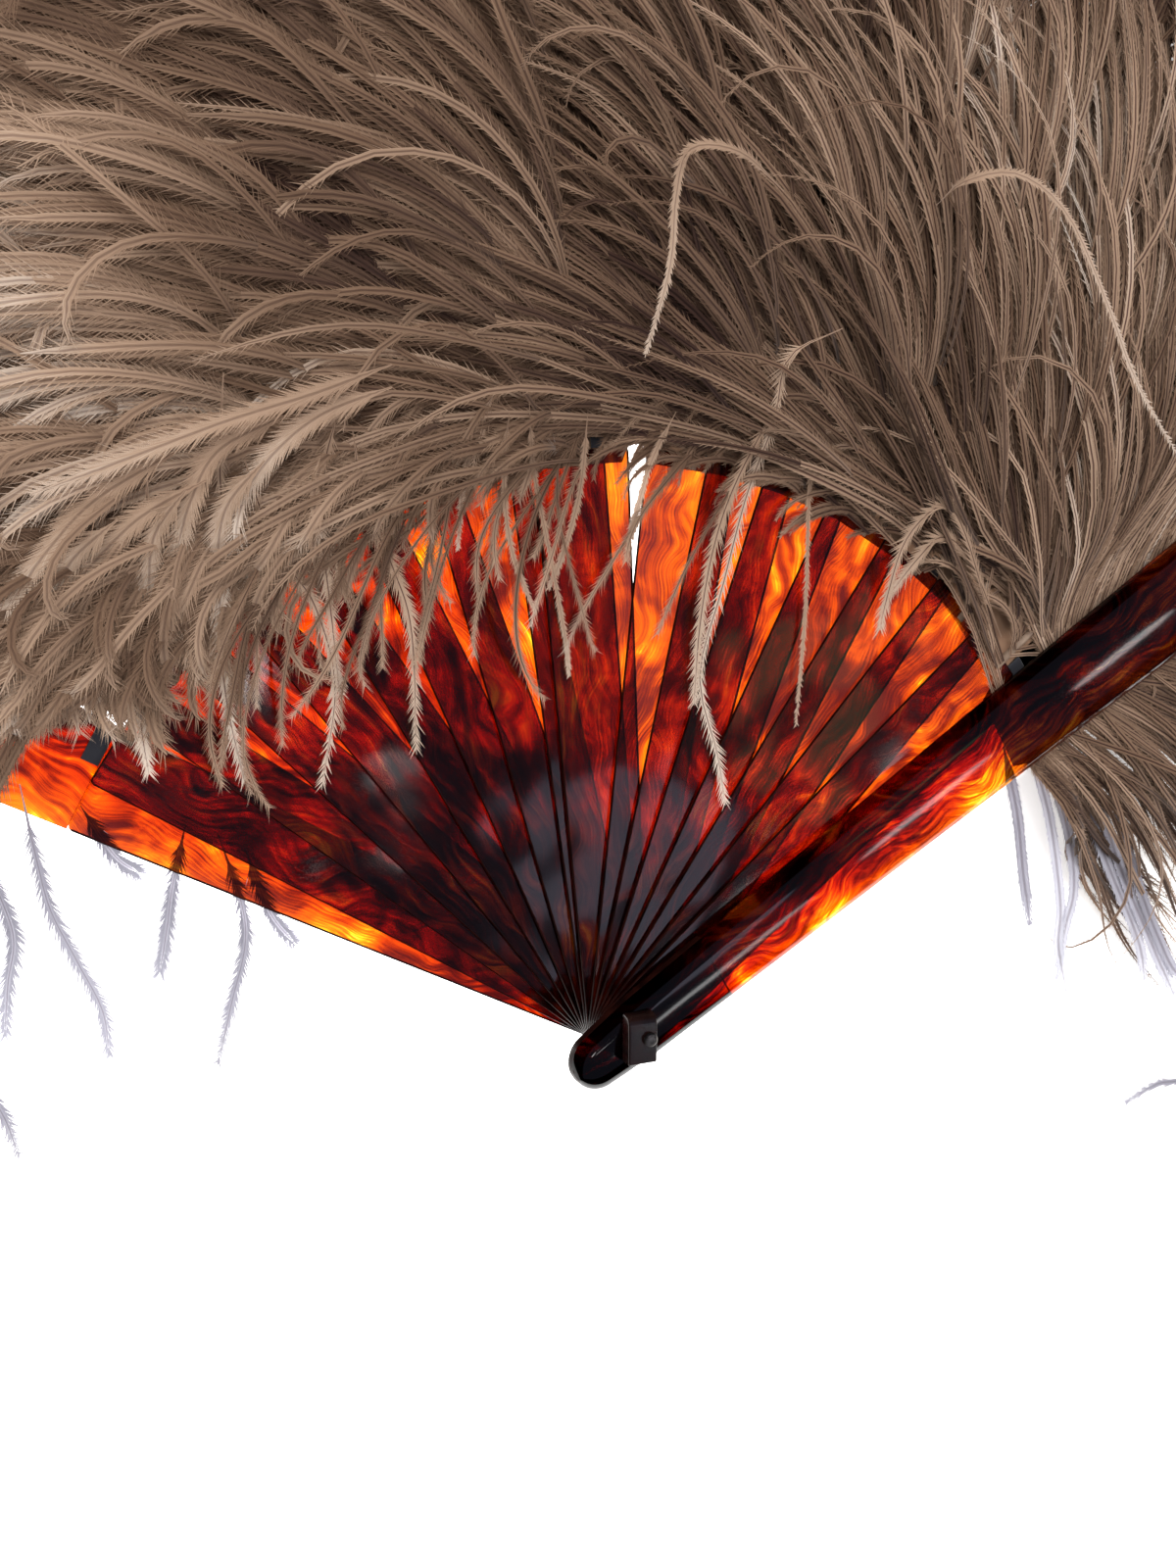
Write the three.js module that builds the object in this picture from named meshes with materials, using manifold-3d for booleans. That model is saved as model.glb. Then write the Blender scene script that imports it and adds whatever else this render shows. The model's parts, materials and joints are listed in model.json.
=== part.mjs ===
// Folding plume fan, lying open on its back. Millimetres, +Z up.
// The Z axis is the pivot, and the rear guard's back lies on z = 0.
// Blades are stacked from rear to front, and each carries one ostrich plume at its tip.

import * as THREE from 'three';
import { mergeVertices } from 'three/addons/utils/BufferGeometryUtils.js';
import Module from 'manifold-3d';

const wasm = await Module();
wasm.setup();

// How the fan is spread: degrees from each blade to the next, rear guard to front guard
const openSteps = [4.6, 6.7, 6.5, 6.8, 7.6, 6.6, 7.3, 8.2, 2.4, 12.0, 6.6, 6.5, 7.9, 7.7, 7.9, 7.3, 7.1];
const frontAngle = 31.1; // degrees from +X to the front guard's centre line
const gap = 0.3; // running clearance between pieces

// Sticks
const stickLength = 160; // pivot to the square tip
const stickThickness = 1.0;
const pivotHalfWidth = 9.6; // also the radius of a stick's round head
const taperDegrees = 1.66; // each edge leans out by this much
const tipCornerRadius = 1.2;

// Guards
const guardLength = 246; // pivot to the round end
const guardEndRadius = 12;
const rearGuardThickness = 2.4;
const frontTail = 13.7; // front guard's head lies this far behind the pivot
const frontHeadRadius = 8.2;
const frontWall = 1.6; // square edge below the chamfer
const chamferRise = 2.8;
const chamferRun = 4.6;
const landLength = 30; // thicker stretch of the front guard that rides on the last stick

// Pivot pin and the lug that it clamps
const pinRadius = 1.4;
const pinTailRadius = 2.5;
const pinTailDepth = 1.1;
const pinHeadRadius = 2.0;
const pinHeadHeight = 1.1;
const lugWidth = 8.8;
const lugLength = 14.2;
const lugThickness = 4.5;
const lugNoseRadius = 3.0;
const lugShift = -1.9; // lug's middle from the pin, along X

// Plumes: thin sheets that nest, each turned from the same curve about the pivot.
// The left side of each swells up over its neighbour, so no sheet cuts another as the fan folds.
const plumeReach = 430; // pivot to the plume's tip
const plumeThickness = 1.0;
const plumeHalfWidth = 58;
const plumeNeckHalfWidth = 2.5;
const plumeNeckLength = 6.5;
const plumeSpring = 1.7; // from the neck to where the first barbs have spread
const plumeLift = 52; // how far the tip curls up off the plane of the blades
const plumeSwell = 24; // how far the left side stands up
const rearLeftShare = 0.5; // how much of its swelling side the rear plume keeps beside the rear guard
const drapeWidth = 36; // front plume's right side, which hangs down past the others
const drapeDrop = 18;
const drapeClear = 1.5;
const plumeRings = 15;

// Silk tabs beside the plumes, at the stick tips
const tabLength = 10;
const tabWidth = 4;
const tabThickness = 0.6;
const tabInset = 1.0; // from the corner of the tip

// Heights that follow from the stack
const layerPitch = Math.max(stickThickness, plumeThickness) + gap;
const stickCount = openSteps.length - 1;
const firstStickZ = rearGuardThickness + gap;
const frontLandZ = firstStickZ + stickCount * layerPitch;
const frontBackZ = frontLandZ + plumeThickness + gap;
const frontTopZ = frontBackZ + frontWall + chamferRise;
const lugZ = frontTopZ + gap;
const pinHeadZ = lugZ + lugThickness + gap;
const rearSeatZ = rearGuardThickness - plumeThickness - gap; // rebate under the rear plume
const boreRadius = pinRadius + gap;
const tipHalfWidth = halfWidth(stickLength);
const swellStart = halfWidth(guardLength) + 4 * gap; // plumes stay flat under the front guard
const roundSides = 24;

function halfWidth(along) {
  return pivotHalfWidth + along * Math.tan(THREE.MathUtils.degToRad(taperDegrees));
}

function paint(color, roughness, metalness = 0) {
  return new THREE.MeshStandardMaterial({ color, roughness, metalness });
}

const shell = () => paint('#6b1d0c', 0.12);
const feather = () => paint('#8a7868', 0.9);
const silk = () => paint('#14110f', 0.7);

function toSolid(geometry) {
  const bare = geometry.clone();
  bare.deleteAttribute('normal');
  bare.deleteAttribute('uv');
  const merged = mergeVertices(bare, 1e-4);
  const vertProperties = new Float32Array(merged.attributes.position.array);
  const triVerts = new Uint32Array(merged.index.array);
  return new wasm.Manifold(new wasm.Mesh({ numProp: 3, vertProperties, triVerts }));
}

function toGeometry(solid) {
  const mesh = solid.getMesh();
  const geometry = new THREE.BufferGeometry();
  geometry.setAttribute('position', new THREE.BufferAttribute(new Float32Array(mesh.vertProperties), 3));
  geometry.setIndex(new THREE.BufferAttribute(new Uint32Array(mesh.triVerts), 1));
  geometry.computeVertexNormals();
  return geometry;
}

function rod(radiusLow, radiusHigh, zLow, zHigh) {
  const geometry = new THREE.CylinderGeometry(radiusHigh, radiusLow, zHigh - zLow, roundSides);
  geometry.rotateX(Math.PI / 2);
  geometry.translate(0, 0, (zLow + zHigh) / 2);
  return geometry;
}

function block(xLow, xHigh, yLow, yHigh, zLow, zHigh) {
  const geometry = new THREE.BoxGeometry(xHigh - xLow, yHigh - yLow, zHigh - zLow);
  geometry.translate((xLow + xHigh) / 2, (yLow + yHigh) / 2, (zLow + zHigh) / 2);
  return geometry;
}

function plate(outline, zLow, zHigh) {
  const geometry = new THREE.ExtrudeGeometry(outline, {
    depth: zHigh - zLow,
    bevelEnabled: false,
    curveSegments: roundSides / 4,
  });
  geometry.translate(0, 0, zLow);
  return geometry;
}

// Plan of a blade along +X: round head about headX, straight flaring edges, then the tip
function bladeOutline(headX, headRadius, length, drawTip) {
  const outline = new THREE.Shape();
  outline.moveTo(0, -pivotHalfWidth);
  drawTip(outline, length, halfWidth(length));
  outline.lineTo(0, pivotHalfWidth);
  if (headX !== 0) outline.lineTo(headX, headRadius);
  outline.absarc(headX, 0, headRadius, Math.PI / 2, 1.5 * Math.PI, false);
  return outline;
}

function squareTip(outline, length, half) {
  const edge = halfWidth(length - tipCornerRadius);
  outline.lineTo(length - tipCornerRadius, -edge);
  outline.quadraticCurveTo(length, -half, length, -half + tipCornerRadius);
  outline.lineTo(length, half - tipCornerRadius);
  outline.quadraticCurveTo(length, half, length - tipCornerRadius, edge);
}

function roundTip(outline, length, half) {
  const edge = halfWidth(length - guardEndRadius);
  outline.lineTo(length - guardEndRadius, -edge);
  outline.bezierCurveTo(length - guardEndRadius / 2, -half, length, -half / 2, length, 0);
  outline.bezierCurveTo(length, half / 2, length - guardEndRadius / 2, half, length - guardEndRadius, edge);
}

function makeStick(z) {
  const outline = bladeOutline(0, pivotHalfWidth, stickLength, squareTip);
  const bore = new THREE.Path();
  bore.absarc(0, 0, boreRadius, 0, 2 * Math.PI, true);
  outline.holes.push(bore);
  return plate(outline, z, z + stickThickness);
}

// Flat guard, with a rebate for its plume and a countersink for the pin's tail
function makeRearGuard() {
  const outline = bladeOutline(0, pivotHalfWidth, guardLength, roundTip);
  const slab = toSolid(plate(outline, 0, rearGuardThickness));
  const wide = 2 * halfWidth(guardLength);
  const rebate = block(stickLength, guardLength + 1, -wide, wide, rearSeatZ, rearGuardThickness + 1);
  const sink = rod(pinTailRadius + gap, boreRadius, 0, pinTailDepth + gap);
  const sinkMouth = rod(pinTailRadius + gap, pinTailRadius + gap, -1, 0.01);
  const bore = rod(boreRadius, boreRadius, pinTailDepth, rearGuardThickness + 1);
  const cutter = toSolid(sink).add(toSolid(sinkMouth)).add(toSolid(bore));
  return toGeometry(slab.subtract(toSolid(rebate)).subtract(cutter));
}

// Chamfered guard with a flat back, and a land round the pivot that closes the stack
function makeFrontGuard() {
  const outline = bladeOutline(-frontTail, frontHeadRadius, guardLength, roundTip);
  const lens = new THREE.ExtrudeGeometry(outline, {
    depth: 2 * frontWall,
    bevelEnabled: true,
    bevelThickness: chamferRise,
    bevelSize: chamferRun,
    bevelOffset: -chamferRun,
    bevelSegments: 1,
    curveSegments: roundSides / 3,
  });
  lens.translate(0, 0, frontBackZ - frontWall);
  const reach = guardLength + frontTail + frontHeadRadius;
  const under = block(-reach, reach, -reach, reach, frontBackZ - reach, frontBackZ);
  const landOutline = bladeOutline(-frontTail, frontHeadRadius, landLength, (shape, length, half) => {
    shape.lineTo(length, -half);
    shape.lineTo(length, half);
  });
  const land = plate(landOutline, frontLandZ, frontBackZ + frontWall / 2);
  const bore = rod(boreRadius, boreRadius, frontLandZ - 1, frontTopZ + 1);
  const body = toSolid(lens).subtract(toSolid(under)).add(toSolid(land));
  return toGeometry(body.subtract(toSolid(bore)));
}

function makePin() {
  const profile = [
    [0, 0],
    [pinTailRadius, 0],
    [pinRadius, pinTailDepth],
    [pinRadius, pinHeadZ],
    [pinHeadRadius, pinHeadZ],
    [pinHeadRadius, pinHeadZ + pinHeadHeight / 2],
    [pinHeadRadius * 0.6, pinHeadZ + pinHeadHeight * 0.9],
    [0, pinHeadZ + pinHeadHeight],
  ];
  const turned = new THREE.LatheGeometry(profile.map(([r, z]) => new THREE.Vector2(r, z)), roundSides);
  turned.rotateX(Math.PI / 2);
  return turned;
}

// Rectangular lug with a rounded nose, drawn from the side and extruded across
function makeLug() {
  const side = new THREE.Shape();
  const low = -lugLength / 2;
  const high = lugLength / 2;
  side.moveTo(low, 0);
  side.lineTo(high, 0);
  side.lineTo(high, lugThickness - lugNoseRadius);
  side.absarc(high - lugNoseRadius, lugThickness - lugNoseRadius, lugNoseRadius, 0, Math.PI / 2, false);
  side.lineTo(low, lugThickness);
  const bar = new THREE.ExtrudeGeometry(side, { depth: lugWidth, bevelEnabled: false, curveSegments: 8 });
  bar.rotateX(Math.PI / 2);
  bar.rotateZ(Math.PI / 2);
  bar.translate(lugShift - lugWidth / 2, 0, lugZ);
  const bore = rod(boreRadius, boreRadius, lugZ - 1, lugZ + lugThickness + 1);
  return toGeometry(toSolid(bar).subtract(toSolid(bore)));
}

// Radii that all plumes share, so that nested sheets have matching folds
const plumeStart = stickLength + gap;
const plumeFlare = plumeStart + plumeNeckLength;
const flatEnd = guardLength + guardEndRadius; // plumes stay flat as far as the guards reach

function plumeRadius(ring) {
  if (ring === 0) return plumeStart;
  if (ring === 1) return plumeFlare;
  return THREE.MathUtils.lerp(plumeFlare + plumeSpring, plumeReach, (ring - 2) / (plumeRings - 2));
}

function plumeHalf(radius) {
  if (radius <= plumeFlare) return plumeNeckHalfWidth;
  const share = (radius - plumeFlare) / (plumeReach - plumeFlare);
  const leaf = Math.sin(Math.PI * Math.pow(share, 0.7));
  return Math.max(plumeNeckHalfWidth, plumeHalfWidth * Math.sqrt(leaf));
}

function plumeRise(radius) {
  const share = Math.max(0, (radius - flatEnd) / (plumeReach - flatEnd));
  return plumeLift * Math.pow(share, 1.8);
}

// One row across a plume, right to left, as [offset across, lift]
function plumeRow(radius, leftShare, drapes) {
  const half = plumeHalf(radius);
  const fullness = Math.max(0, (half - swellStart) / (plumeHalfWidth - swellStart));
  const inner = half > plumeNeckHalfWidth ? Math.min(swellStart, 0.95 * half) : half / 2;
  const side = (half - inner) * leftShare;
  const lift = plumeSwell * fullness * leftShare;
  const left = [[0, 0], [inner, 0], [inner + side / 2, lift / 2], [inner + side, lift]];
  const flat = [[-half, 0], [-half * 2 / 3, 0], [-half / 3, 0]];
  if (!drapes) return [...flat, ...left];
  const hang = Math.max(fullness, 0.02);
  const edge = half + drapeClear * hang;
  const drape = [[-edge - drapeWidth * hang, -drapeDrop * fullness], [-edge, 0], [-half / 2, 0]];
  return [...drape, ...left];
}

function makePlume(z, leftShare = 1, drapes = false) {
  const positions = [];
  const index = [];
  const columns = plumeRow(plumeReach, leftShare, drapes).length;
  for (let ring = 0; ring <= plumeRings; ring++) {
    const radius = plumeRadius(ring);
    for (const [across, lift] of plumeRow(radius, leftShare, drapes)) {
      const x = radius * Math.cos(across / radius);
      const y = radius * Math.sin(across / radius);
      const low = z + plumeRise(radius) + lift;
      positions.push(x, y, low, x, y, low + plumeThickness);
    }
  }
  const last = columns - 1;
  const at = (ring, column, top) => 2 * (ring * columns + column) + top;
  const quad = (a, b, c, d) => index.push(a, b, c, a, c, d);
  for (let ring = 0; ring < plumeRings; ring++) {
    for (let column = 0; column < last; column++) {
      const [r, c] = [ring, column];
      quad(at(r, c, 1), at(r + 1, c, 1), at(r + 1, c + 1, 1), at(r, c + 1, 1));
      quad(at(r, c, 0), at(r, c + 1, 0), at(r + 1, c + 1, 0), at(r + 1, c, 0));
    }
    quad(at(ring, 0, 0), at(ring + 1, 0, 0), at(ring + 1, 0, 1), at(ring, 0, 1));
    quad(at(ring, last, 1), at(ring + 1, last, 1), at(ring + 1, last, 0), at(ring, last, 0));
  }
  for (let column = 0; column < last; column++) {
    const end = plumeRings;
    quad(at(0, column, 1), at(0, column + 1, 1), at(0, column + 1, 0), at(0, column, 0));
    quad(at(end, column, 0), at(end, column + 1, 0), at(end, column + 1, 1), at(end, column, 1));
  }
  const geometry = new THREE.BufferGeometry();
  geometry.setAttribute('position', new THREE.Float32BufferAttribute(positions, 3));
  geometry.setIndex(index);
  geometry.computeVertexNormals();
  return geometry;
}

function makeTab(z) {
  const corner = tabInset - tipHalfWidth;
  const low = z + (plumeThickness - tabThickness) / 2;
  return block(plumeStart, plumeStart + tabWidth, corner, corner + tabLength, low, low + tabThickness);
}

const fan = new THREE.Group();

function place(name, geometry, material, degrees = 0) {
  const mesh = new THREE.Mesh(geometry, material);
  mesh.name = name;
  mesh.rotation.z = THREE.MathUtils.degToRad(degrees);
  fan.add(mesh);
}

const rearAngle = openSteps.reduce((angle, step) => angle + step, frontAngle);
place('rear_guard', makeRearGuard(), shell(), rearAngle);
place('rear_plume', makePlume(rearSeatZ + gap, rearLeftShare), feather(), rearAngle);
place('rear_tab', makeTab(rearSeatZ + gap), silk(), rearAngle);

let angle = rearAngle;
for (let stick = 1; stick <= stickCount; stick++) {
  const number = String(stick).padStart(2, '0');
  const z = firstStickZ + (stick - 1) * layerPitch;
  angle -= openSteps[stick - 1];
  place(`stick_${number}`, makeStick(z), shell(), angle);
  place(`plume_${number}`, makePlume(z), feather(), angle);
  place(`tab_${number}`, makeTab(z), silk(), angle);
}

place('front_guard', makeFrontGuard(), shell(), frontAngle);
place('front_plume', makePlume(frontLandZ, 1, true), feather(), frontAngle);
place('pivot_lug', makeLug(), paint('#1c0d09', 0.25));
place('pivot_pin', makePin(), paint('#8f8f8c', 0.35, 1));

export default fan;
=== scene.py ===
import json
import math

import bmesh
import bpy
import numpy as np
from mathutils import Matrix, Vector


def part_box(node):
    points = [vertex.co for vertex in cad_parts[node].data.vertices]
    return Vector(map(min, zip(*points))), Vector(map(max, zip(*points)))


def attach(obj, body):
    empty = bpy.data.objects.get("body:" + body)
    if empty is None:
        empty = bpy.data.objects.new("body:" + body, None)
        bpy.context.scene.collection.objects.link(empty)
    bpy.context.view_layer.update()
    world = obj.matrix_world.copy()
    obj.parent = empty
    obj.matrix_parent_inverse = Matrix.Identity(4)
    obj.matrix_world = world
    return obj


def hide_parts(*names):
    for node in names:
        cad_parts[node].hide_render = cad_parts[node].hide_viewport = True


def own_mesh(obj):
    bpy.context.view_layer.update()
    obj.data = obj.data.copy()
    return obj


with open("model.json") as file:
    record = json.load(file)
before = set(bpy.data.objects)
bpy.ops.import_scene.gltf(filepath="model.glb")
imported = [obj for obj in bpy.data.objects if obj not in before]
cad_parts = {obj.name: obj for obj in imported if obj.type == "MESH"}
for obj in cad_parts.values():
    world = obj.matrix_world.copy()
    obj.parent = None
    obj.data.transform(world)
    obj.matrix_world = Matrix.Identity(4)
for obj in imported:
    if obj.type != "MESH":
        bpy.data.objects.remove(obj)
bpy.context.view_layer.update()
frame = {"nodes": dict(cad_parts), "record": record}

mm = 0.001
scene = bpy.context.scene
scene.view_settings.view_transform = "Standard"


# sRGB to linear, by the standard's own curve
def hexLinear(code):
    parts = [int(code[i:i + 2], 16) / 255 for i in (1, 3, 5)]
    linear = [c / 12.92 if c <= 0.04045 else ((c + 0.055) / 1.055) ** 2.4 for c in parts]
    return (*linear, 1.0)


# Value at a place between the pairs of a (place, value) list
def between(place, pairs):
    return np.interp(place, *zip(*pairs))


def addNode(tree, kind, settings=None, links=None):
    node = tree.nodes.new(kind)
    for name, value in (settings or {}).items():
        if name == "stops":
            ramp = node.color_ramp.elements
            while len(ramp) < len(value):
                ramp.new(0.5)
            for element, (place, colour) in zip(ramp, value):
                element.position = place
                element.color = colour
        elif isinstance(name, str) and hasattr(node, name):
            setattr(node, name, value)
        else:
            node.inputs[name].default_value = value
    for name, source in (links or {}).items():
        tree.links.new(source, node.inputs[name])
    return node


def newMaterial(name):
    material = bpy.data.materials.new(name)
    material.use_nodes = True
    material.node_tree.nodes.clear()
    return material, material.node_tree


def finishMaterial(tree, shader):
    addNode(tree, "ShaderNodeOutputMaterial", {}, {"Surface": shader})


def rampStops(tints):
    return [(place, hexLinear(code)) for place, code in tints]


# A finish whose colour drifts in small clouds, and its roughness too where a range is given
def mottledMaterial(name, look, mapName=None):
    material, tree = newMaterial(name)
    if mapName:
        place = addNode(tree, "ShaderNodeUVMap", {"uv_map": mapName}).outputs["UV"]
    else:
        place = addNode(tree, "ShaderNodeTexCoord").outputs["Object"]
    cloud = addNode(tree, "ShaderNodeTexNoise", {"Scale": 1000 / look["mottleMm"], "Detail": look["detail"]},
                    {"Vector": place})
    colour = addNode(tree, "ShaderNodeValToRGB", {"stops": rampStops(look["tints"])},
                     {"Fac": cloud.outputs["Fac"]})
    links = {"Base Color": colour.outputs[0]}
    if "roughness" in look:
        low, high = look["roughness"]
        rough = addNode(tree, "ShaderNodeMapRange", {"To Min": low, "To Max": high},
                        {"Value": cloud.outputs["Fac"]})
        links["Roughness"] = rough.outputs[0]
    shader = addNode(tree, "ShaderNodeBsdfPrincipled", look["finish"], links)
    finishMaterial(tree, shader.outputs[0])
    return material


def meshFrom(name, bm):
    mesh = bpy.data.meshes.new(name)
    bm.to_mesh(mesh)
    bm.free()
    return mesh


def linkMesh(mesh, materials):
    for material in materials:
        mesh.materials.append(material)
    obj = bpy.data.objects.new(mesh.name, mesh)
    scene.collection.objects.link(obj)
    return obj


def smoothFaces(mesh):
    mesh.polygons.foreach_set("use_smooth", [True] * len(mesh.polygons))


# Camera: above and to the left of the fan, looking down at it as it lies on its back
camera = {
    "place": (-0.1921, 0.1450, 0.4070),
    "target": (-0.0099, 0.0691, 0.0150),
    "lens": 24.30,
    "sensor": 24.0,
    "near": 0.01,
    "image": (1200, 1600),
}


def cameraAxes():
    forward = (Vector(camera["target"]) - Vector(camera["place"])).normalized()
    right = forward.cross(Vector((0, 1, 0))).normalized()
    return right, right.cross(forward), forward


def makeCamera():
    right, up, forward = cameraAxes()
    data = bpy.data.cameras.new("photoCamera")
    data.sensor_fit = "VERTICAL"
    data.sensor_height = camera["sensor"]
    data.lens = camera["lens"]
    data.clip_start = camera["near"]
    obj = bpy.data.objects.new("photoCamera", data)
    turn = Matrix((right, up, -forward)).transposed().to_4x4()
    obj.matrix_world = Matrix.Translation(camera["place"]) @ turn
    scene.collection.objects.link(obj)
    scene.camera = obj


# Point of the fan's frame that lies under a pixel of the photograph, at a given height
def pixelToFan(px, py, z):
    right, up, forward = cameraAxes()
    width, height = camera["image"]
    focal = camera["lens"] / camera["sensor"] * height
    ray = forward + right * ((px - width / 2) / focal) - up * ((py - height / 2) / focal)
    start = Vector(camera["place"])
    return start + ray * ((z - start.z) / ray.z)


makeCamera()
print("camera placed")


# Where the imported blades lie: the fold's range and each stick's share of it come from the frame
rearBody = "rear"
frontBody = "front"
frontDegrees = 31.1  # of the front guard on the open fan, up from X
behaviour = frame["record"]["behaviour"]
foldTop = max(math.radians(v) for v in behaviour["joints"][0]["range_deg"])
foldRatios = {c["joint"]: c["ratio"] for c in behaviour["couplings"]}
frontAngle = math.radians(frontDegrees)
rearAngle = frontAngle + foldTop
stickNames = sorted(n for n in frame["nodes"] if n.startswith("stick_"))


def stickAngle(name):
    return rearAngle - foldTop * foldRatios["fold_" + name[-2:]]


# Floor and light: an opal table top lit from within, with a brighter panel under the blades,
# so that the fan lies on plain white and the thin sheet glows
studio = {
    "floor": "#f7f6f4", "glow": 0.55, "panelGlow": 3.7, "size": 4.0, "drop": 0.0006, "room": 0.50,
    "panelDrop": 0.0003, "panelReach": 0.166, "panelEdge": 0.019, "panelRight": 0.030, "panelNose": 0.010,
    "panelLeft": 0.045, "leftTurn": 0.12, "panelSteps": 24,
}


def makeStage(name, bm, glow):
    material, tree = newMaterial("opal glass, lit from below, " + name)
    opal = hexLinear(studio["floor"])
    shader = addNode(tree, "ShaderNodeBsdfPrincipled",
                     {"Base Color": opal, "Roughness": 0.9, "Specular IOR Level": 0.1,
                      "Emission Color": opal, "Emission Strength": glow})
    finishMaterial(tree, shader.outputs[0])
    obj = linkMesh(meshFrom(name, bm), [material])


def makeFloor():
    bm = bmesh.new()
    bmesh.ops.create_grid(bm, x_segments=1, y_segments=1, size=studio["size"] / 2)
    bmesh.ops.translate(bm, vec=(0, 0, -studio["drop"]), verts=bm.verts)
    makeStage("studioFloor", bm, studio["glow"])
    # the panel is the blades' own sector, a little wider on the right, where the front guard stands high
    bm = bmesh.new()
    edge, right, steps = studio["panelEdge"], studio["panelRight"], studio["panelSteps"]
    corners = [(-edge * math.sin(rearAngle), edge * math.cos(rearAngle)), (0.0, -studio["panelNose"]),
               (right * math.sin(frontAngle), -right * math.cos(frontAngle))]
    turns = [frontAngle + (rearAngle - frontAngle) * i / steps for i in range(steps + 1)]
    longer = [studio["panelLeft"] if rearAngle - a < studio["leftTurn"] else 0 for a in turns]
    reach = [studio["panelReach"] + more for more in longer]
    far = [(r * math.cos(a), r * math.sin(a)) for r, a in zip(reach, turns)]
    far[0] = (far[0][0] + corners[2][0], far[0][1] + corners[2][1])
    far[-1] = (far[-1][0] + corners[0][0], far[-1][1] + corners[0][1])
    face = bm.faces.new([bm.verts.new((x, y, -studio["panelDrop"])) for x, y in corners + far])
    face.normal_update()
    if face.normal.z < 0:
        face.normal_flip()
    makeStage("lightPanel", bm, studio["panelGlow"])


# The first two light the barbs and aren't mirrored. The others show as highlights in the polished sheet.
lamps = {
    "key": {"place": (-0.55, 0.75, 1.30), "aim": (0.0, 0.15, 0.0), "size": (1.3, 1.3),
            "power": 28.0, "colour": "#ffffff", "seen": False},
    "fill": {"place": (0.90, -0.40, 1.20), "aim": (0.0, 0.15, 0.0), "size": (0.9, 0.9),
             "power": 12.0, "colour": "#ffffff", "seen": False},
    "glint": {"place": (0.08, 0.02, 1.00), "aim": (-0.10, 0.09, 0.0), "size": (0.07, 0.07),
              "power": 0.17, "colour": "#ffffff", "seen": True},
    "glintLow": {"place": (0.242, -0.126, 1.00), "aim": (-0.07, 0.07, 0.0), "size": (0.02, 0.04),
                 "power": 0.017, "colour": "#ffffff", "seen": True},
    "window": {"place": (0.50, -0.20, 1.02), "aim": (0.0, 0.05, 0.0), "size": (0.20, 0.14),
               "power": 0.10, "colour": "#e6e6ff", "seen": True},
    "stripNear": {"place": (0.510, -0.288, 0.89), "aim": (0.085, 0.05, 0.029), "size": (0.24, 0.02),
                  "power": 0.075, "colour": "#ffffff", "seen": True},
    "stripMid": {"place": (0.745, -0.147, 0.89), "aim": (0.085, 0.05, 0.029), "size": (0.16, 0.02),
                 "power": 0.055, "colour": "#ffffff", "seen": True},
    "stripFar": {"place": (0.985, -0.002, 0.89), "aim": (0.085, 0.05, 0.029), "size": (0.12, 0.02),
                 "power": 0.045, "colour": "#ffffff", "seen": True},
    "ceiling": {"place": (0.55, 0.0, 1.60), "aim": (0.55, 0.0, 0.0), "size": (3.0, 2.2),
                "power": 2.8, "colour": "#d8d8ff", "seen": True},
    "garden": {"place": (0.72, -0.06, 1.02), "aim": (0.05, 0.07, 0.0), "size": (0.20, 0.10),
               "power": 0.05, "colour": "#b4c890", "seen": True},
}


def makeLights():
    world = bpy.data.worlds.new("softRoom")
    world.use_nodes = True
    world.node_tree.nodes["Background"].inputs[0].default_value = (1, 1, 1, 1)
    world.node_tree.nodes["Background"].inputs[1].default_value = studio["room"]
    scene.world = world
    world.cycles_visibility.glossy = False
    for name, lamp in lamps.items():
        data = bpy.data.lights.new(name, "AREA")
        data.shape = "ELLIPSE"
        data.size, data.size_y = lamp["size"]
        data.energy = lamp["power"]
        data.color = hexLinear(lamp["colour"])[:3]
        obj = bpy.data.objects.new(name, data)
        obj.visible_glossy = lamp["seen"]
        back = (Vector(lamp["place"]) - Vector(lamp["aim"])).normalized()
        along = Vector((math.cos(frontAngle), math.sin(frontAngle), 0))
        along = (along - back * along.dot(back)).normalized()
        turn = Matrix((along, back.cross(along), back)).transposed().to_4x4()
        obj.matrix_world = Matrix.Translation(lamp["place"]) @ turn
        scene.collection.objects.link(obj)


makeFloor()
makeLights()
print("floor and lights placed")


# Tortoiseshell-look sheet, cast in swirls and polished: amber that lets the floor's light through,
# crossed by maroon clouds, under a hard gloss
shellLook = {
    "foldMm": 38.0, "foldPushMm": 34.0, "cloudMm": 22.0, "flameMm": (24.0, 1.7), "flameTurn": 0.5,
    "flameShare": 0.52, "darkest": 0.425, "lightest": 0.635, "ior": 1.50, "bowMm": 45.0, "bowDepth": 0.003,
    "dulling": (0.8, 0.2),
}
shellTints = [(0.0, "#581a16"), (0.25, "#8e2c10"), (0.5, "#be4e0c"), (0.72, "#d0680e"), (0.88, "#e2a81a"),
              (1.0, "#eaca42")]
shellBody = [(0.1, "#260909"), (0.45, "#54140f"), (0.7, "#802a10"), (0.95, "#a85a1a")]
# The sheet's sawn and polished edges, painted nearly black: painted shade of the side walls, which lie in
# shadow
edgeShadeLook = {
    "mottleMm": 6.0, "detail": 2.0, "tints": [(0.3, "#060202"), (0.75, "#240c08")],
    "finish": {"Roughness": 0.34, "Specular IOR Level": 0.1},
}


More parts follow.
